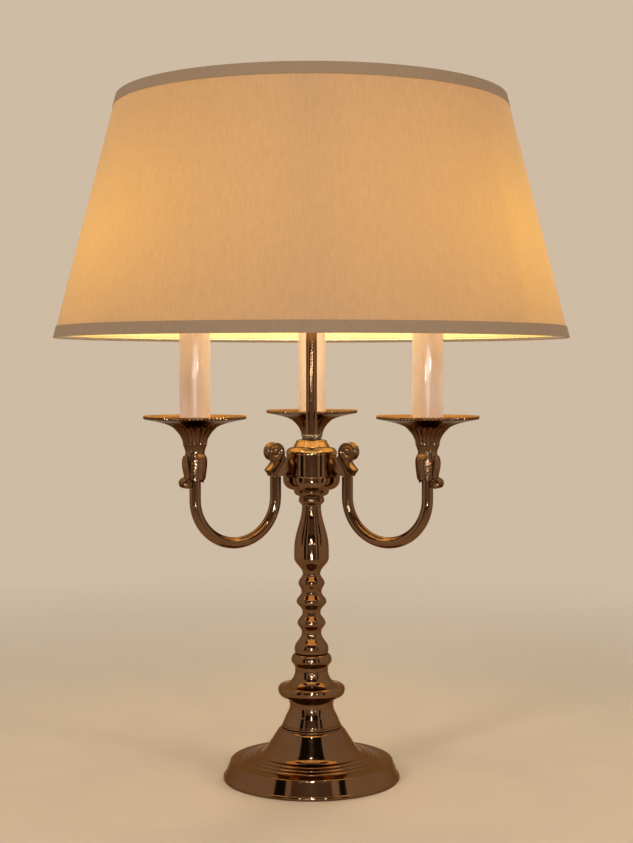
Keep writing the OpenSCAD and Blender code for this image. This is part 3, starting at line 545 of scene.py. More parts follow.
def spun_foot():
    low, high, r = span("base_shell")
    band_r = r - 6.2
    shoulder_r = r - 18.2
    step_w = 4.8
    bell_r = shoulder_r - 3 * step_w
    neck_r = span("column_foot")[2] + 1.1
    waist_r = bell_r - 7.6
    lean = 0.647
    bell_h = high - 22.4
    foot_h, crown_h, neck_h = bell_h * 0.28, 2.6, 1.1
    cone_h = bell_h - foot_h - crown_h - neck_h
    crown_r = waist_r - lean * cone_h
    steps = [up_over(shoulder_r - i * step_w, shoulder_r - (i + 1) * step_w, 1.7, 8) for i in range(3)]
    outer = stack(
        over_up(r - 0.7, r, 1.44, 6), up_over(r, r - 1.3, 2.16, 6),
        straight(r - 1.3, band_r, 11.9), up_over(band_r, band_r - 1.2, 1, 6),
        straight(band_r - 1.2, shoulder_r, 0.8), *steps,
        swept((bell_r, 0), (waist_r + lean * foot_h, 0), (waist_r, foot_h), 14),
        straight(waist_r, crown_r, cone_h),
        swept((crown_r, 0), (crown_r - lean * crown_h, crown_h * 0.9), (neck_r, crown_h), 12),
        straight(neck_r, neck_r, neck_h))
    inner = [(p[0] - FOOT_WALL, max(0.0, p[1] - FOOT_WALL)) for p in outer]
    outline = outer + [(BORE_R, high), (BORE_R, high - FOOT_WALL)] + inner[::-1]
    foot = lathe("spun_foot", softened(outline, 0.35), FOOT_ROUND)
    bpy.ops.object.select_all(action="DESELECT")
    bpy.ops.mesh.primitive_cylinder_add(
        vertices=48, radius=INLET_R * MM, depth=INLET_DEPTH * MM, location=(0, INLET_Y * MM, INLET_Z * MM),
        rotation=(radians(-INLET_TILT), 0, 0))
    cut_out(foot, started("drill"))
    smooth(foot)
    hand_over(foot, BRONZE_METAL, "stand", "dark_bronze", "base_shell")


# ---- Turned column ----

def turned(name, node, *outlines, soft=0.3, bore=BORE_R):
    """A turned piece on the rod: its outline from the solid's lower face up, with the bore through it."""
    low, high, _ = span(node)
    outline = [(bore, low)] + stack(*outlines, z=low) + [(bore, high)]
    return hand_over(lathe(name, softened(outline, soft)), BRONZE_METAL, "stand", "dark_bronze", node)


# Radii of the stem's necks, from the cushion up to the baluster
NECKS = (8.9, 8.2, 9.2, 8.0)


def bead(low_r, peak_r, high_r, rise, fall):
    return stack(ogee(low_r, peak_r, rise, 1.5, 14), ogee(peak_r, high_r, fall, 1.1, 14))


def column():
    low, high, r = span("column_foot")
    side = high - low - 3.2
    turned("flared_foot", "column_foot",
           over_up(r - 0.7, r, 1.2, 5), up_over(r, r - 0.5, 1.2, 5), straight(r - 1, r - 1, 0.8),
           straight(r - 0.6, r - 3.8, side * 0.3), flare(r - 3.8, r - 7, side * 0.37),
           up_over(r - 7, r - 2.3, side * 0.33))
    foot_top_r = r - 2.3
    low, high, r = span("column_knop")
    ring_r = span("column_ring")[2]
    turned("wide_knop", "column_knop",
           over_up(foot_top_r, r, 6.3, 14), up_over(r, r - 2.8, 4.2, 10),
           over_up(r - 2.8, ring_r - 3.5, high - low - 10.5, 16))
    low, high, r = span("column_ring")
    cushion_r = span("column_cushion")[2]
    turned("neck_ring", "column_ring",
           ogee(r - 3.5, r, (high - low) * 0.58, 2), up_over(r, cushion_r - 1.2, (high - low) * 0.42, 14))
    low, high, r = span("column_cushion")
    h = high - low
    turned("cushion", "column_cushion",
           over_up(r - 1.2, r, h * 0.2, 8), straight(r, r, h * 0.06), ogee(r, NECKS[0], h * 0.74))
    low, high, r = span("beaded_stem")
    h = high - low
    turned("beaded_column", "beaded_stem",
           bead(NECKS[0], r - 0.8, NECKS[1], h * 0.17, h * 0.17),
           bead(NECKS[1], r, NECKS[2], h * 0.19, h * 0.16),
           bead(NECKS[2], r - 1.7, NECKS[3], h * 0.15, h * 0.16))
    low, high, r = span("baluster")
    h = high - low
    turned("tapered_baluster", "baluster",
           ogee(NECKS[3], r, h * 0.21), straight(r, r, h * 0.17 - 7.5), ogee(r, 8.6, h * 0.62, 1.3, 26),
           ogee(8.6, 11.7, 4.5, 1, 10), up_over(11.7, 10.8, 3, 8))


# ---- Hub ----

def hub():
    low, high, r = span("hub_bowl")
    seat = span("hub_drum")[0]
    outer = stack(straight(11.1, 11.1, 1.6), over_up(11.1, 16, 4.4, 12), straight(16, 16, 1.2),
                  over_up(16.6, r, 9.2, 18), straight(r, r, 2.6), up_over(r, r - 0.8, 1, 5), z=low)
    inside = [(22.9, high), (22.9, seat), (20.2, seat), (10.5, low + 3), (BORE_R, low + 3)]
    bowl = lathe("hub_bowl_turned", softened([(BORE_R, low)] + outer + inside, 0.3))
    hand_over(bowl, BRONZE_METAL, "stand", "dark_bronze", "hub_bowl")
    low, high, r = span("hub_drum")
    drum = lathe("hub_drum_turned", softened([(r - 1.6, low), (r, low), (r, high), (r - 1.6, high)], 0.35))
    hand_over(drum, BRONZE_METAL, "stand", "dark_bronze", "hub_drum")
    low, high, r = span("hub_cap")
    low += 3
    dome = stack(straight(23.2, 23.2, 0.9), up_over(23.2, 16.9, 5.24, 18), straight(16.4, 16.4, 0.7),
                 straight(16.4, 13.9, 4.3), up_over(13.9, 12.4, 1.46, 8), z=low)
    under = [(BORE_R, high), (BORE_R, high - 2.4), (12.8, high - 2.4), (12.8, low + 2.8), (17.9, low + 2.8),
             (17.9, low - 3), (21.1, low - 3), (21.1, low)]
    cap = lathe("domed_cap", softened(dome + under, 0.4))
    # The cap's brighter bronze is a painted reflection of the lit shade.
    hand_over(cap, CAP_METAL, "stand", "dark_bronze", "hub_cap")


def knurled_ring():
    """A lock ring whose rim is cut with crossed knurls."""
    low, high, r = span("lock_ring")
    h = high - low
    rows = [(r - 0.5 + 0.5 * min(1, 4 * min(t, 1 - t)), low + h * t) for t in (i / 20 for i in range(21))]
    outline = [(BORE_R, low), (r - 1.1, low)] + rows + [(r - 1.1, high), (BORE_R, high)]
    ring = lathe("knurled_ring", outline, KNURL_ROUND)
    for vertex in ring.data.vertices:
        x, y, z = vertex.co
        out = hypot(x, y)
        if out < (r - 0.6) * MM:
            continue
        turn = atan2(y, x) * 30
        climb = (z / MM - low) / h * tau * 1.5
        cut = 0.5 * (abs(sin((turn + climb) / 2)) + abs(sin((turn - climb) / 2)))
        scale = (out - 0.55 * MM * (1 - cut)) / out
        vertex.co = (x * scale, y * scale, z)
    smooth(ring, 18)
    hand_over(ring, KNURLED, "stand", "dark_bronze", "lock_ring")


def riser_and_finial():
    low, high, r = span("riser_rod")
    rod = lathe("polished_riser", softened([(3.6, low), (r, low), (r, high), (3.6, high)], 0.4), 64)
    hand_over(rod, BRONZE_METAL, "stand", "dark_bronze", "riser_rod")
    low, high, r = span("finial")
    button = stack(straight(r - 0.6, r - 0.6, 2), ogee(r - 0.6, r - 2.4, 2.4, 1, 8),
                   ogee(r - 2.4, r, 4.2, 1, 12), up_over(r, 2.4, 6.2, 14),
                   over_up(2.4, 0.4, high - low - 14.8, 6), z=low)
    outline = [(0.0, low + 7), (BORE_R, low + 7), (BORE_R, low)] + button + [(0.0, high)]
    finial = lathe("button_finial", softened(outline, 0.3, closed=False), 72, closed=False)
    hand_over(finial, BRONZE_METAL, "finial", "dark_bronze", "finial")


# ---- Arms ----

low_corner, high_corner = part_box("arm_tube_rear")
ARM_ROOT = low_corner.y / MM + TUBE_R
ARM_REACH = high_corner.y / MM - TUBE_R
ARM_TOP = high_corner.z / MM
BEND_R = (ARM_REACH - ARM_ROOT) / 2
BEND_X = ARM_ROOT + BEND_R
BEND_Z = low_corner.z / MM + TUBE_R + BEND_R
BRACKET_Z = span("hub_bowl")[1] + 0.3


def arm_tube():
    """A tube drawn down from the bracket, bent through half a turn and drawn up to the candle."""
    bpy.ops.object.select_all(action="DESELECT")
    bpy.ops.mesh.primitive_circle_add(vertices=40, radius=TUBE_R * MM, fill_type="NOTHING",
                                      location=(ARM_ROOT * MM, 0, BRACKET_Z * MM))
    tube = started("arm_tube_bent")
    settle(tube)
    bpy.ops.object.mode_set(mode="EDIT")
    bpy.ops.mesh.select_all(action="SELECT")
    bpy.ops.mesh.extrude_region_move(TRANSFORM_OT_translate={"value": (0, 0, (BEND_Z - BRACKET_Z) * MM)})
    bpy.ops.mesh.spin(steps=56, angle=pi, center=(BEND_X * MM, 0, BEND_Z * MM), axis=(0, 1, 0))
    bpy.ops.mesh.extrude_region_move(TRANSFORM_OT_translate={"value": (0, 0, (ARM_TOP - BEND_Z) * MM)})
    bpy.ops.object.mode_set(mode="OBJECT")
    mend(tube)
    apply_modifier(tube, "SOLIDIFY", thickness=TUBE_WALL * MM, offset=-1.0)
    smooth(tube)
    for_each_arm(tube, "bent_tube", BRONZE_METAL, "stand", "dark_bronze", "arm_tube")


SCROLL_X = ARM_ROOT + 1.8
SCROLL_Z = 22.2
SCROLL_R = 8.8
BRACKET_W = 10.0


def scroll_strap_path():
    """Up from the leaf along the bracket's slanting edge, over the scroll and into its eye."""
    tail = [(42.6, 0.9), (40.6, 3.0), (38.6, 5.3), (36.6, 7.7), (34.7, 10.2), (33.0, 12.8), (31.7, 15.4),
            (31.0, 17.8), (30.75, 20.0)]
    turns, steps = 1.42, 64
    curl = []
    for i in range(steps + 1):
        t = i / steps
        angle = pi - tau * turns * t
        r = SCROLL_R - 0.9 - 5.0 * t ** 1.15
        curl.append((SCROLL_X + r * cos(angle), SCROLL_Z + r * sin(angle)))
    return tail + curl


def scroll_bracket():
    path = scroll_strap_path()

    def strap_place(t, u):
        x, z = path[round(t * (len(path) - 1))]
        return x, u * BRACKET_W / 2, z

    strap = grid_form("scroll_strap", len(path) - 1, 4, strap_place, 1.8, 0.0, 0.35)
    body = plate("scroll_body", [
        (21.6, 0.0), (42.0, 0.0), (40.0, 2.6), (37.6, 5.4), (34.8, 9.0), (32.2, 13.2), (30.8, 17.6),
        (30.4, 20.4), (28.9, 18.9), (27.6, 17.2), (25.6, 15.6), (21.6, 14.7)], 8.8, 0.6, 1.3, 0.5)
    hollow = plate("scroll_hollow", [
        (37.0, 2.0), (44.0, 4.0), (42.4, 9.0), (40.6, 15.5), (33.0, 16.0), (33.5, 9.0)], 4.6, 0.5)

    def leaf_place(t, u):
        """From the neck of the scroll out to the point, then back under to the tube."""
        x, z = leaf_path[round(t * (len(leaf_path) - 1))]
        fold = 1.6 * abs(u) ** 1.6 * sin(pi * min(1.0, t * 1.15)) ** 0.8
        vein = 0.12 * cos(abs(u) * 14 + t * 9) * sin(pi * t)
        half = 3.6 + 1.8 * sin(pi * min(1.0, t * 1.05)) - 1.0 * t ** 3
        return x - fold + vein, u * half, z + 0.25 * fold

    leaf_path = [(40.3, 15.2), (40.8, 13.8), (41.5, 12.4), (42.4, 11.0), (43.5, 9.6), (44.6, 8.3),
                 (45.8, 7.0), (46.9, 5.9), (46.8, 5.3), (45.7, 4.2), (44.5, 3.0), (43.2, 1.8), (41.8, 0.6)]
    leaf = grid_form("scroll_leaf", len(leaf_path) - 1, 14, leaf_place, 1.3, -1.0, 0.2)
    face = [(0.0, 5.8), (1.6, 5.6), (2.5, 5.0), (2.9, 4.3), (3.4, 4.2), (4.0, 4.6), (4.8, 4.6), (5.2, 4.1),
            (5.8, 4.1), (6.3, 4.5), (7.2, 4.5), (7.6, 4.1), (8.3, 4.1)]
    web = lathe("scroll_web", softened([(r, -w) for r, w in face] + face[::-1], 0.3, closed=False),
                56, closed=False)
    web.rotation_euler.x = pi / 2
    web.location = (SCROLL_X * MM, 0, SCROLL_Z * MM)
    settle(web)
    mend(web)
    bracket = join("scroll_cast", [strap, body, hollow, leaf, web])
    move(bracket, z=BRACKET_Z)
    for_each_arm(bracket, "cast_scroll", CAST_METAL, "stand", "dark_bronze", "scroll_bracket")


# ---- Candle cups ----

CURL_Z = -2.6
CURL_R = 4.6
CUP_Z = span("candle_cup_rear")[0] + CURL_R - CURL_Z
CUP_H = span("candle_cup_rear")[1] - CUP_Z
CUP_RING_H = 6.6
CUP_BODY_H = CUP_H - CUP_RING_H
CUP_R = 9.9
CURL_X = CUP_R - 1


def cup_side(z):
    """Radius of the cup's body at a height above its lower edge."""
    t = min(1.0, max(0.0, z / CUP_BODY_H))
    if t < 0.68:
        return 8.3 + 1.6 * sin(pi / 2 * t / 0.68) ** 1.4
    return 8.3 + 1.6 * cos(pi / 2 * (t - 0.68) / 0.32) ** 1.2


def inner_leaf_place(t, u):
    """A leaf on the cup's inner side, with slanting ribs, that ends in a lobe below the body."""
    z = 21.5 - 23.3 * t
    tip = max(0.0, (t - 0.72) / 0.28)
    half = (1.25 - 0.5 * t * t) * sqrt(max(0.05, 1 - tip ** 2.4 * 0.93))
    angle = pi + u * half
    rib = 0.9 * (abs(sin((z - 6.5 * abs(u)) * 1.4)) - 0.5) * (1 - abs(u) ** 6) * min(1, t * 6)
    ridge = 0.4 * exp(-((u / 0.1) ** 2))
    r = cup_side(z) + 0.1 - 0.75 * u * u + rib + ridge - 2.2 * max(0.0, (t - 0.86) / 0.14) ** 1.5
    return r * cos(angle), r * sin(angle), z


def curl_path():
    """Down the cup's outer side, out over the curl, under it and in."""
    points = [(cup_side(z) + 0.2 + 0.7 * sin(pi * (22 - z) / 19), z)
              for z in (21, 19, 17, 15, 13, 11, 9, 7, 5.4, 4)]
    points += [(8.75, 2.9), (8.7, 2.2), (8.95, 1.6)]
    for i in range(49):
        angle = 82 - 450 * i / 48
        r = CURL_R - 0.6 - 0.9 * max(0.0, (-90 - angle) / 90)
        points.append((CURL_X + r * cos(radians(angle)), CURL_Z + r * sin(radians(angle))))
    return points


def flute(angle):
    """How far the flutes of the cup's neck and the pan stand out or in, as a share of the radius."""
    return 0.09 * (abs(cos(angle * 9)) - 0.8)


def candle_cup():
    side = [(cup_side(CUP_BODY_H * i / 39), CUP_BODY_H * i / 39) for i in range(40)]
    neck = [(8.3 + 1.9 * (i / 12) ** 1.7, CUP_BODY_H + CUP_RING_H * i / 12) for i in range(1, 13)]
    outline = [(BORE_R, 0.0)] + side + neck + [(BORE_R, CUP_H)]
    body = lathe("cup_body", softened(outline, 0.4), 72)
    for vertex in body.data.vertices:
        x, y, z = vertex.co
        out = hypot(x, y)
        height = z / MM
        if out < 7 * MM:
            continue
        angle = atan2(y, x)
        if height > CUP_BODY_H:
            scale = 1 + flute(angle) * min(1, (height - CUP_BODY_H) / 2)
            vertex.co.x, vertex.co.y = x * scale, y * scale
            continue
        fade = sin(pi * height / CUP_BODY_H)
        fold = exp(-((abs(angle) - 1.45) / 0.16) ** 2) * fade
        ribs = 0.4 * abs(sin((height + 5 * abs(angle)) * 1.2)) * fade
        scale = (out + (0.3 * fold - ribs * 0.6) * MM) / out
        vertex.co = (x * scale, y * scale, z)
    path = curl_path()

    def curl_place(t, u):
        x, z = path[round(t * (len(path) - 1))]
        on_body = min(1.0, max(0.0, (z - 1.2) / 3)) if t < 0.25 else 0.0
        half = 4.9 + 1.2 * on_body * sin(pi * min(1.0, (21.5 - z) / 19)) - 1.2 * max(0.0, (z - 15) / 6)
        y = u * half
        wrap = (x - sqrt(max(0.1, x * x - y * y))) * on_body
        groove = 0.25 * cos(u * 9) * (1 - abs(u) ** 4)
        return x - wrap + groove * on_body, y, z - 0.2 * groove * (1 - on_body)

    inner = grid_form("inner_leaf", 44, 26, inner_leaf_place, 1.0, 0.0, 0.0, 1)
    curl = grid_form("outer_curl", len(path) - 1, 10, curl_place, 1.2, 0.0, 0.3)
    cup = join("cup_cast", [body, inner, curl])
    move(cup, ARM_REACH, CUP_Z)
    for_each_arm(cup, "leaf_cup", CAST_METAL, "stand", "dark_bronze", "candle_cup")


# ---- Drip pans and candles ----

NOTCHES = 80


def drip_pan():
    low, high, _ = span("drip_pan_rear")
    h = high - low
    r = 44.5
    knee = (19.0, h * 0.61)
    rim_z = h - 3
    floor_h = h - 7.4
    foot = 10.3
    n = 20
    trumpet = [(foot + (knee[0] - foot) * (i / n) ** 1.9, 0.8 + (knee[1] - 0.8) * i / n)
               for i in range(1, n + 1)]
    saucer = []
    for i in range(1, n + 1):
        t = i / n
        saucer.append((knee[0] + (r - 1 - knee[0]) * t,
                       knee[1] + (rim_z - knee[1]) * (1 - (1 - t) ** 4 + t ** 1.6) / 2))
    rim = stack(over_up(r - 1, r, 1, 5), straight(r, r, 0.5), straight(r - 0.45, r - 0.45, 0.3),
                straight(r, r, 0.6), up_over(r, r - 0.8, 0.6, 5), z=rim_z)
    dish = [(p[0] - 0.6, p[1] + 2.0) for p in saucer if p[0] < r - 4 and p[1] + 2.0 > floor_h + 0.1]
    outline = ([(BORE_R, 0.0), (foot, 0.0), (foot, 0.8)] + trumpet + saucer + rim[1:] + [(r - 2.2, h - 0.15)]
               + dish[::-1] + [(17.5, floor_h), (BORE_R, floor_h)])
    pan = lathe("pan_cast", softened(outline, 0.35), PAN_ROUND)
    for vertex in pan.data.vertices:
        x, y, z = vertex.co
        out, angle = hypot(x, y) / MM, atan2(y, x)
        height = z / MM
        shift = 0.0
        under = height < 0.8 + knee[1] + 5.5 * max(0.0, (out - 19) / 24.5) ** 0.6 + 0.6 and out > 9.3
        if under and height < rim_z - 0.4:
            share = 1 - max(0.0, (out - 26) / 16) ** 2
            shift = out * flute(angle) * max(0.0, share)
        if out > r - 0.9:
            shift = 0.9 * (abs(cos(angle * NOTCHES / 2)) - 1)
        if out > r - 3.2 and height > h - 1.2:
            vertex.co.z += 0.7 * (abs(cos(angle * NOTCHES / 2)) - 1) * MM
        scale = (out + shift) / out
        vertex.co.x, vertex.co.y = x * scale, y * scale
    move(pan, ARM_REACH, low)
    smooth(pan, 40)
    for_each_arm(pan, "scalloped_pan", CAST_METAL, "stand", "dark_bronze", "drip_pan")


def candle_sleeve():
    low, high, _ = span("candle_sleeve_rear")
    h = high - low
    outline = stack(straight(13.5, 13.5, h - 1.4), up_over(13.5, 12.1, 1.4, 6))
    outline += [(11.5, h), (11.1, h - 0.4), (11.1, 0)]
    sleeve = lathe("sleeve_moulded", softened(outline, 0.3), 96)
    move(sleeve, ARM_REACH, low)
    for_each_arm(sleeve, "ivory_sleeve", SLEEVE_IVORY, "stand", "candle_ivory", "candle_sleeve")


def candle_bulb():
    low, high, _ = span("bulb_glass_rear")
    h = high - low
    belly = h * 0.33
    outer = stack(ogee(8.05, 17.5, belly, 0.8, 22), ogee(17.5, 2.2, h - belly - 1.4, 1.05, 34),
                  up_over(2.2, 0.0, 1.4, 6))
    inner = [(p[0] - 0.7, p[1]) for p in outer if p[0] > 1.4]
    outline = outer + [(0.0, inner[-1][1] - 1)] + [(inner[-1][0], inner[-1][1] - 1)] + inner[-2::-1]
    bulb = lathe("bulb_blown", outline[::-1] + [outline[-1]], 72)
    move(bulb, ARM_REACH, low)
    for_each_arm(bulb, "candle_bulb", LIT_GLASS, "bulb_{}", "bulb_glass", "bulb_glass")
    for arm in ARMS:
        bpy.data.objects[f"candle_bulb_{arm}"].visible_shadow = False


# ---- Shade ----

SHADE_LOW, _, SHADE_R = span("shade_bottom_trim")
SHADE_HIGH = span("shade_top_trim")[1]
SHADE_TOP_R = 174.0
LEAN = (SHADE_R - SHADE_TOP_R) / (SHADE_HIGH - SHADE_LOW)
TAPE_T = 0.5
CLOTH_T = 0.4
LINER_T = 0.8
TAPE_W = 10.0


def shade_r(z, inwards=0.0):
    return SHADE_R - LEAN * (z - SHADE_LOW) - inwards


def cone_wall(name, outer_in, inner_in, low, high, rows):
    """A closed conical wall between two depths inside the shade's face."""
    heights = [low + (high - low) * i / rows for i in range(rows + 1)]
    outer = [(shade_r(z, outer_in), z) for z in heights]
    inner = [(shade_r(z, inner_in), z) for z in heights[::-1]]
    return lathe(name, outer + inner, SHADE_ROUND)


def shade():
    liner = cone_wall("stiff_liner", TAPE_T + CLOTH_T + 0.02, TAPE_T + CLOTH_T + LINER_T,
                      SHADE_LOW + TAPE_T, SHADE_HIGH - TAPE_T, 24)
    hand_over(liner, LINER, "shade", "shade_liner", "shade_liner")
    liner.visible_shadow = False
    cover = cone_wall("cloth_cover", TAPE_T, TAPE_T + CLOTH_T, SHADE_LOW + TAPE_T, SHADE_HIGH - TAPE_T, 60)
    seam_half = 4.0
    for vertex in cover.data.vertices:
        x, y, z = vertex.co
        r, angle = hypot(x, y), atan2(y, x)
        across = (angle - pi / 2) * r / MM
        edge = min(1.0, max(0.0, (seam_half - abs(across)) / 0.8)) if y > 0 else 0.0
        if r > (shade_r(z / MM, TAPE_T) - 0.05) * MM:
            scale = (r + 0.3 * edge * MM) / r
            vertex.co.x, vertex.co.y = x * scale, y * scale
    hand_over(cover, None, "shade", "shade_fabric", "shade_fabric")
    dress(cover, CLOTH, CLOTH_INSIDE)
    for face in cover.data.polygons:
        centre = face.center
        if face.normal.x * centre.x + face.normal.y * centre.y < 0:
            face.material_index = 1
    for name, band, node in (("top_tape", (SHADE_HIGH - TAPE_W, SHADE_HIGH), "shade_top_trim"),
                             ("bottom_tape", (SHADE_LOW, SHADE_LOW + TAPE_W), "shade_bottom_trim")):
        low, high = band
        wrap = TAPE_T + CLOTH_T + LINER_T
        if name == "top_tape":
            outline = [(shade_r(low, TAPE_T), low), (shade_r(low), low), (shade_r(high), high),
                       (shade_r(high, wrap), high), (shade_r(high, wrap), high - TAPE_T),
                       (shade_r(high, TAPE_T), high - TAPE_T)]
        else:
            outline = [(shade_r(low, wrap), low), (shade_r(low), low), (shade_r(high), high),
                       (shade_r(high, TAPE_T), high), (shade_r(low, TAPE_T), low + TAPE_T),
                       (shade_r(low, wrap), low + TAPE_T)]
        tape = lathe(name, softened(outline, 0.2), SHADE_ROUND)
        hand_over(tape, TAPE_CLOTH, "shade", "trim_tape", node)


# ---- Solids that stay as they are ----

KEPT = {
    FELT: ["felt_pad"],
    IRON: ["base_weight"],
    BLACK_PLASTIC: ["cord_bushing"],
    STEEL: ["base_washer", "rod_nuts", "threaded_rod", "rod_coupling", "bracket_screws", "pan_nuts",
            "socket_straps"],
    CERAMIC: ["socket_bodies"],
    BRASS: ["socket_shells", "socket_contacts", "bulb_cap_rear", "bulb_cap_left", "bulb_cap_right"],
    LEAD_VINYL: ["arm_leads", "trunk_lead"],
    ORANGE_PLASTIC: ["wire_connectors"],
    KNURLED: ["shade_collar", "collar_nut", "clamp_key"],
    WIRE: ["shade_spider", "shade_upper_ring", "shade_lower_ring"],
}


def dress_kept_solids():
    for material, nodes in KEPT.items():
        for node in nodes:
            dress(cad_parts[node], material)


# ---- Stage, light and camera ----

BACKDROP = (0.62, 0.5, 0.375)
FLOOR = (0.58, 0.475, 0.36)
WORLD_LIGHT = 0.5
LAMP_CENTRE = (0, 0, 0.3)


def floor():
    """A wide pale floor that fades into the backdrop."""
    bpy.ops.object.select_all(action="DESELECT")
    bpy.ops.mesh.primitive_circle_add(vertices=96, radius=4, fill_type="NGON", location=(0, 0, 0))
    ground = started("floor")
    finish = Finish("floor_paint", FLOOR, 0.7, 0.0)
    finish.colour(finish.shades(finish.noise(3, 3), [c * 0.97 for c in FLOOR], FLOOR))
    distance = finish.tree.nodes.new("ShaderNodeVectorMath")
    distance.operation = "LENGTH"
    finish.link(finish.place, distance.inputs[0])
    fade = finish.between(distance.outputs["Value"], 0.0, 1.0, 0.4, 1.3)
    clear = finish.tree.nodes.new("ShaderNodeBsdfTransparent")
    mix = finish.tree.nodes.new("ShaderNodeMixShader")
    finish.link(fade, mix.inputs["Fac"])
    finish.link(finish.shader.outputs["BSDF"], mix.inputs[1])
    finish.link(clear.outputs["BSDF"], mix.inputs[2])
    below = finish.tree.nodes.new("ShaderNodeMixShader")
    side = finish.tree.nodes.new("ShaderNodeNewGeometry")
    finish.link(side.outputs["Backfacing"], below.inputs["Fac"])
    finish.link(mix.outputs["Shader"], below.inputs[1])
    finish.link(clear.outputs["BSDF"], below.inputs[2])
    finish.link(below.outputs["Shader"], finish.tree.nodes["Material Output"].inputs["Surface"])
    dress(ground, finish.material)


def studio_world():
    """Even soft light; what the camera, metal and glass see is the pale backdrop."""
    world = bpy.data.worlds.new("studio")
    bpy.context.scene.world = world
    world.use_nodes = True
    tree = world.node_tree
    light = tree.nodes["Background"]
    light.inputs["Color"].default_value = (1.0, 0.94, 0.87, 1)
    light.inputs["Strength"].default_value = WORLD_LIGHT
    seen = tree.nodes.new("ShaderNodeBackground")
    seen.inputs["Color"].default_value = (*BACKDROP, 1)
    seen.inputs["Strength"].default_value = 1.0
    path = tree.nodes.new("ShaderNodeLightPath")
    total = path.outputs["Is Camera Ray"]
    for ray in ("Is Glossy Ray", "Is Transmission Ray"):
        add = tree.nodes.new("ShaderNodeMath")
        add.operation = "ADD"
        add.use_clamp = True
        tree.links.new(total, add.inputs[0])
        tree.links.new(path.outputs[ray], add.inputs[1])
        total = add.outputs["Value"]
    mix = tree.nodes.new("ShaderNodeMixShader")
    tree.links.new(total, mix.inputs["Fac"])
    tree.links.new(light.outputs["Background"], mix.inputs[1])
    tree.links.new(seen.outputs["Background"], mix.inputs[2])
    tree.links.new(mix.outputs["Shader"], tree.nodes["World Output"].inputs["Surface"])


def dark_flag(name, place, width, height, shade):
    """A dark card out of view, turned to the lamp, that gives polished metal something dark to show."""
    bpy.ops.object.select_all(action="DESELECT")
    bpy.ops.mesh.primitive_plane_add(size=1, location=place)
    flag = started(name)
    flag.scale = (width, height, 1)
    flag.rotation_euler = (Vector(LAMP_CENTRE) - Vector(place)).to_track_quat("-Z", "Y").to_euler()
    settle(flag)
    finish = Finish(name, shade, 0.9)
    finish.colour(finish.shades(finish.noise(2), [c * 0.85 for c in shade], shade))
    dress(flag, finish.material)
    flag.visible_camera = False
    flag.visible_diffuse = False
    flag.visible_shadow = False
    flag.visible_transmission = False


def flags():
    black = (0.022, 0.016, 0.012)
    dark_flag("flag_left", (-2.1, -2.2, 0.6), 0.8, 3.6, black)
    dark_flag("flag_right", (2.1, -2.2, 0.6), 0.5, 3.6, black)
    dark_flag("flag_high", (0.0, -2.1, 2.7), 3.2, 2.0, black)
    dark_flag("flag_low", (0.0, -2.8, -0.8), 3.4, 1.3, black)
    dark_flag("flag_middle", (0.0, -2.8, 0.85), 2.6, 0.9, black)
    dark_flag("flag_front", (0.0, -3.0, 0.4), 3.2, 4.0, (0.42, 0.3, 0.22))


def soft_light(name, place, size, power, colour=(1, 1, 1), mirrored=False, height=0.0):
    """A lamp turned to the object, which lights it or only shows as a highlight in what is glossy."""
    data = bpy.data.lights.new(name, "AREA")
    data.shape = "RECTANGLE" if height else "DISK"
    data.size = size
    data.size_y = height or size
    data.energy = power
    data.color = colour
    light = bpy.data.objects.new(name, data)
    bpy.context.collection.objects.link(light)
    light.location = place
    light.rotation_euler = (Vector(LAMP_CENTRE) - Vector(place)).to_track_quat("-Z", "Y").to_euler()
    light.visible_camera = False
    light.visible_glossy = mirrored
    light.visible_diffuse = not mirrored


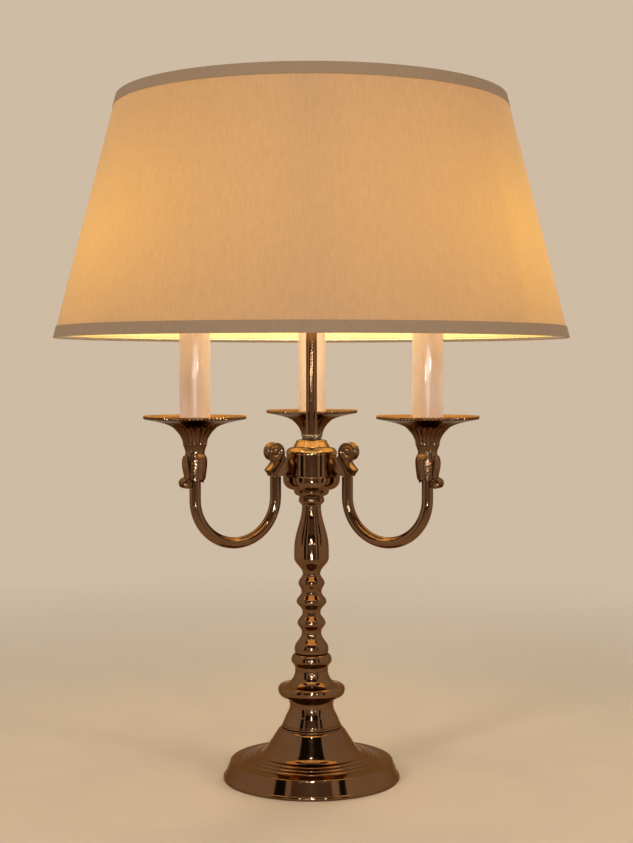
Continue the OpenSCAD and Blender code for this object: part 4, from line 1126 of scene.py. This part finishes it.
# Small highlights: x, y and z in metres, and power in watts
GLINTS = ((0.03, -1.4, 0.45, 3), (0.02, -1.4, 0.02, 2), (0.02, -1.3, 1.15, 2), (0.0, -1.0, 1.5, 1.5),
          (-0.35, -1.4, 0.36, 0.7), (0.45, -1.4, 0.38, 0.7), (-0.15, -1.4, 0.55, 0.7))
BULB_POWER = 0.58
BULB_WARMTH = (1.0, 0.8, 0.4)
BULB_LIGHT_R = 0.014


def lights():
    soft_light("key", (-1.5, -1.7, 1.5), 0.5, 19, (1.0, 0.96, 0.9))
    soft_light("fill", (1.7, -1.2, 1.0), 0.5, 11.5, (1.0, 0.96, 0.9))
    soft_light("rim", (0.6, 1.7, 1.3), 0.8, 9, (1.0, 0.94, 0.86))
    for i, (x, y, z, power) in enumerate(GLINTS):
        soft_light(f"glint_{i}", (x, y, z), 0.03, power, mirrored=True)
    soft_light("strip", (0.05, -1.4, 0.5), 0.025, 2.4, mirrored=True, height=0.14)
    low, high, _ = span("bulb_glass_rear")
    for arm, angle in ARMS.items():
        data = bpy.data.lights.new(f"bulb_light_{arm}", "POINT")
        data.energy = BULB_POWER
        data.color = BULB_WARMTH
        data.shadow_soft_size = BULB_LIGHT_R
        light = bpy.data.objects.new(data.name, data)
        bpy.context.collection.objects.link(light)
        light.location = (ARM_REACH * MM * cos(radians(angle)), ARM_REACH * MM * sin(radians(angle)),
                          (low + (high - low) * 0.4) * MM)


# Image height and focal length in pixels, sensor in millimetres, place in metres, tilt below level in degrees
IMAGE_HEIGHT = 843
FOCAL_LENGTH = 1501.6
SENSOR = 36.0
CAMERA_PLACE = (0.0045, -1.3537, 0.3727)
CAMERA_TILT = 2.093


def camera():
    data = bpy.data.cameras.new("camera")
    data.sensor_width = SENSOR
    data.lens = FOCAL_LENGTH / IMAGE_HEIGHT * SENSOR
    viewer = bpy.data.objects.new("camera", data)
    bpy.context.collection.objects.link(viewer)
    viewer.location = CAMERA_PLACE
    viewer.rotation_euler = (radians(90 - CAMERA_TILT), 0, 0)
    bpy.context.scene.camera = viewer


spun_foot()
column()
hub()
knurled_ring()
riser_and_finial()
arm_tube()
scroll_bracket()
candle_cup()
drip_pan()
candle_sleeve()
candle_bulb()
shade()
dress_kept_solids()
floor()
studio_world()
flags()
lights()
camera()
bpy.context.scene.view_settings.view_transform = "Standard"
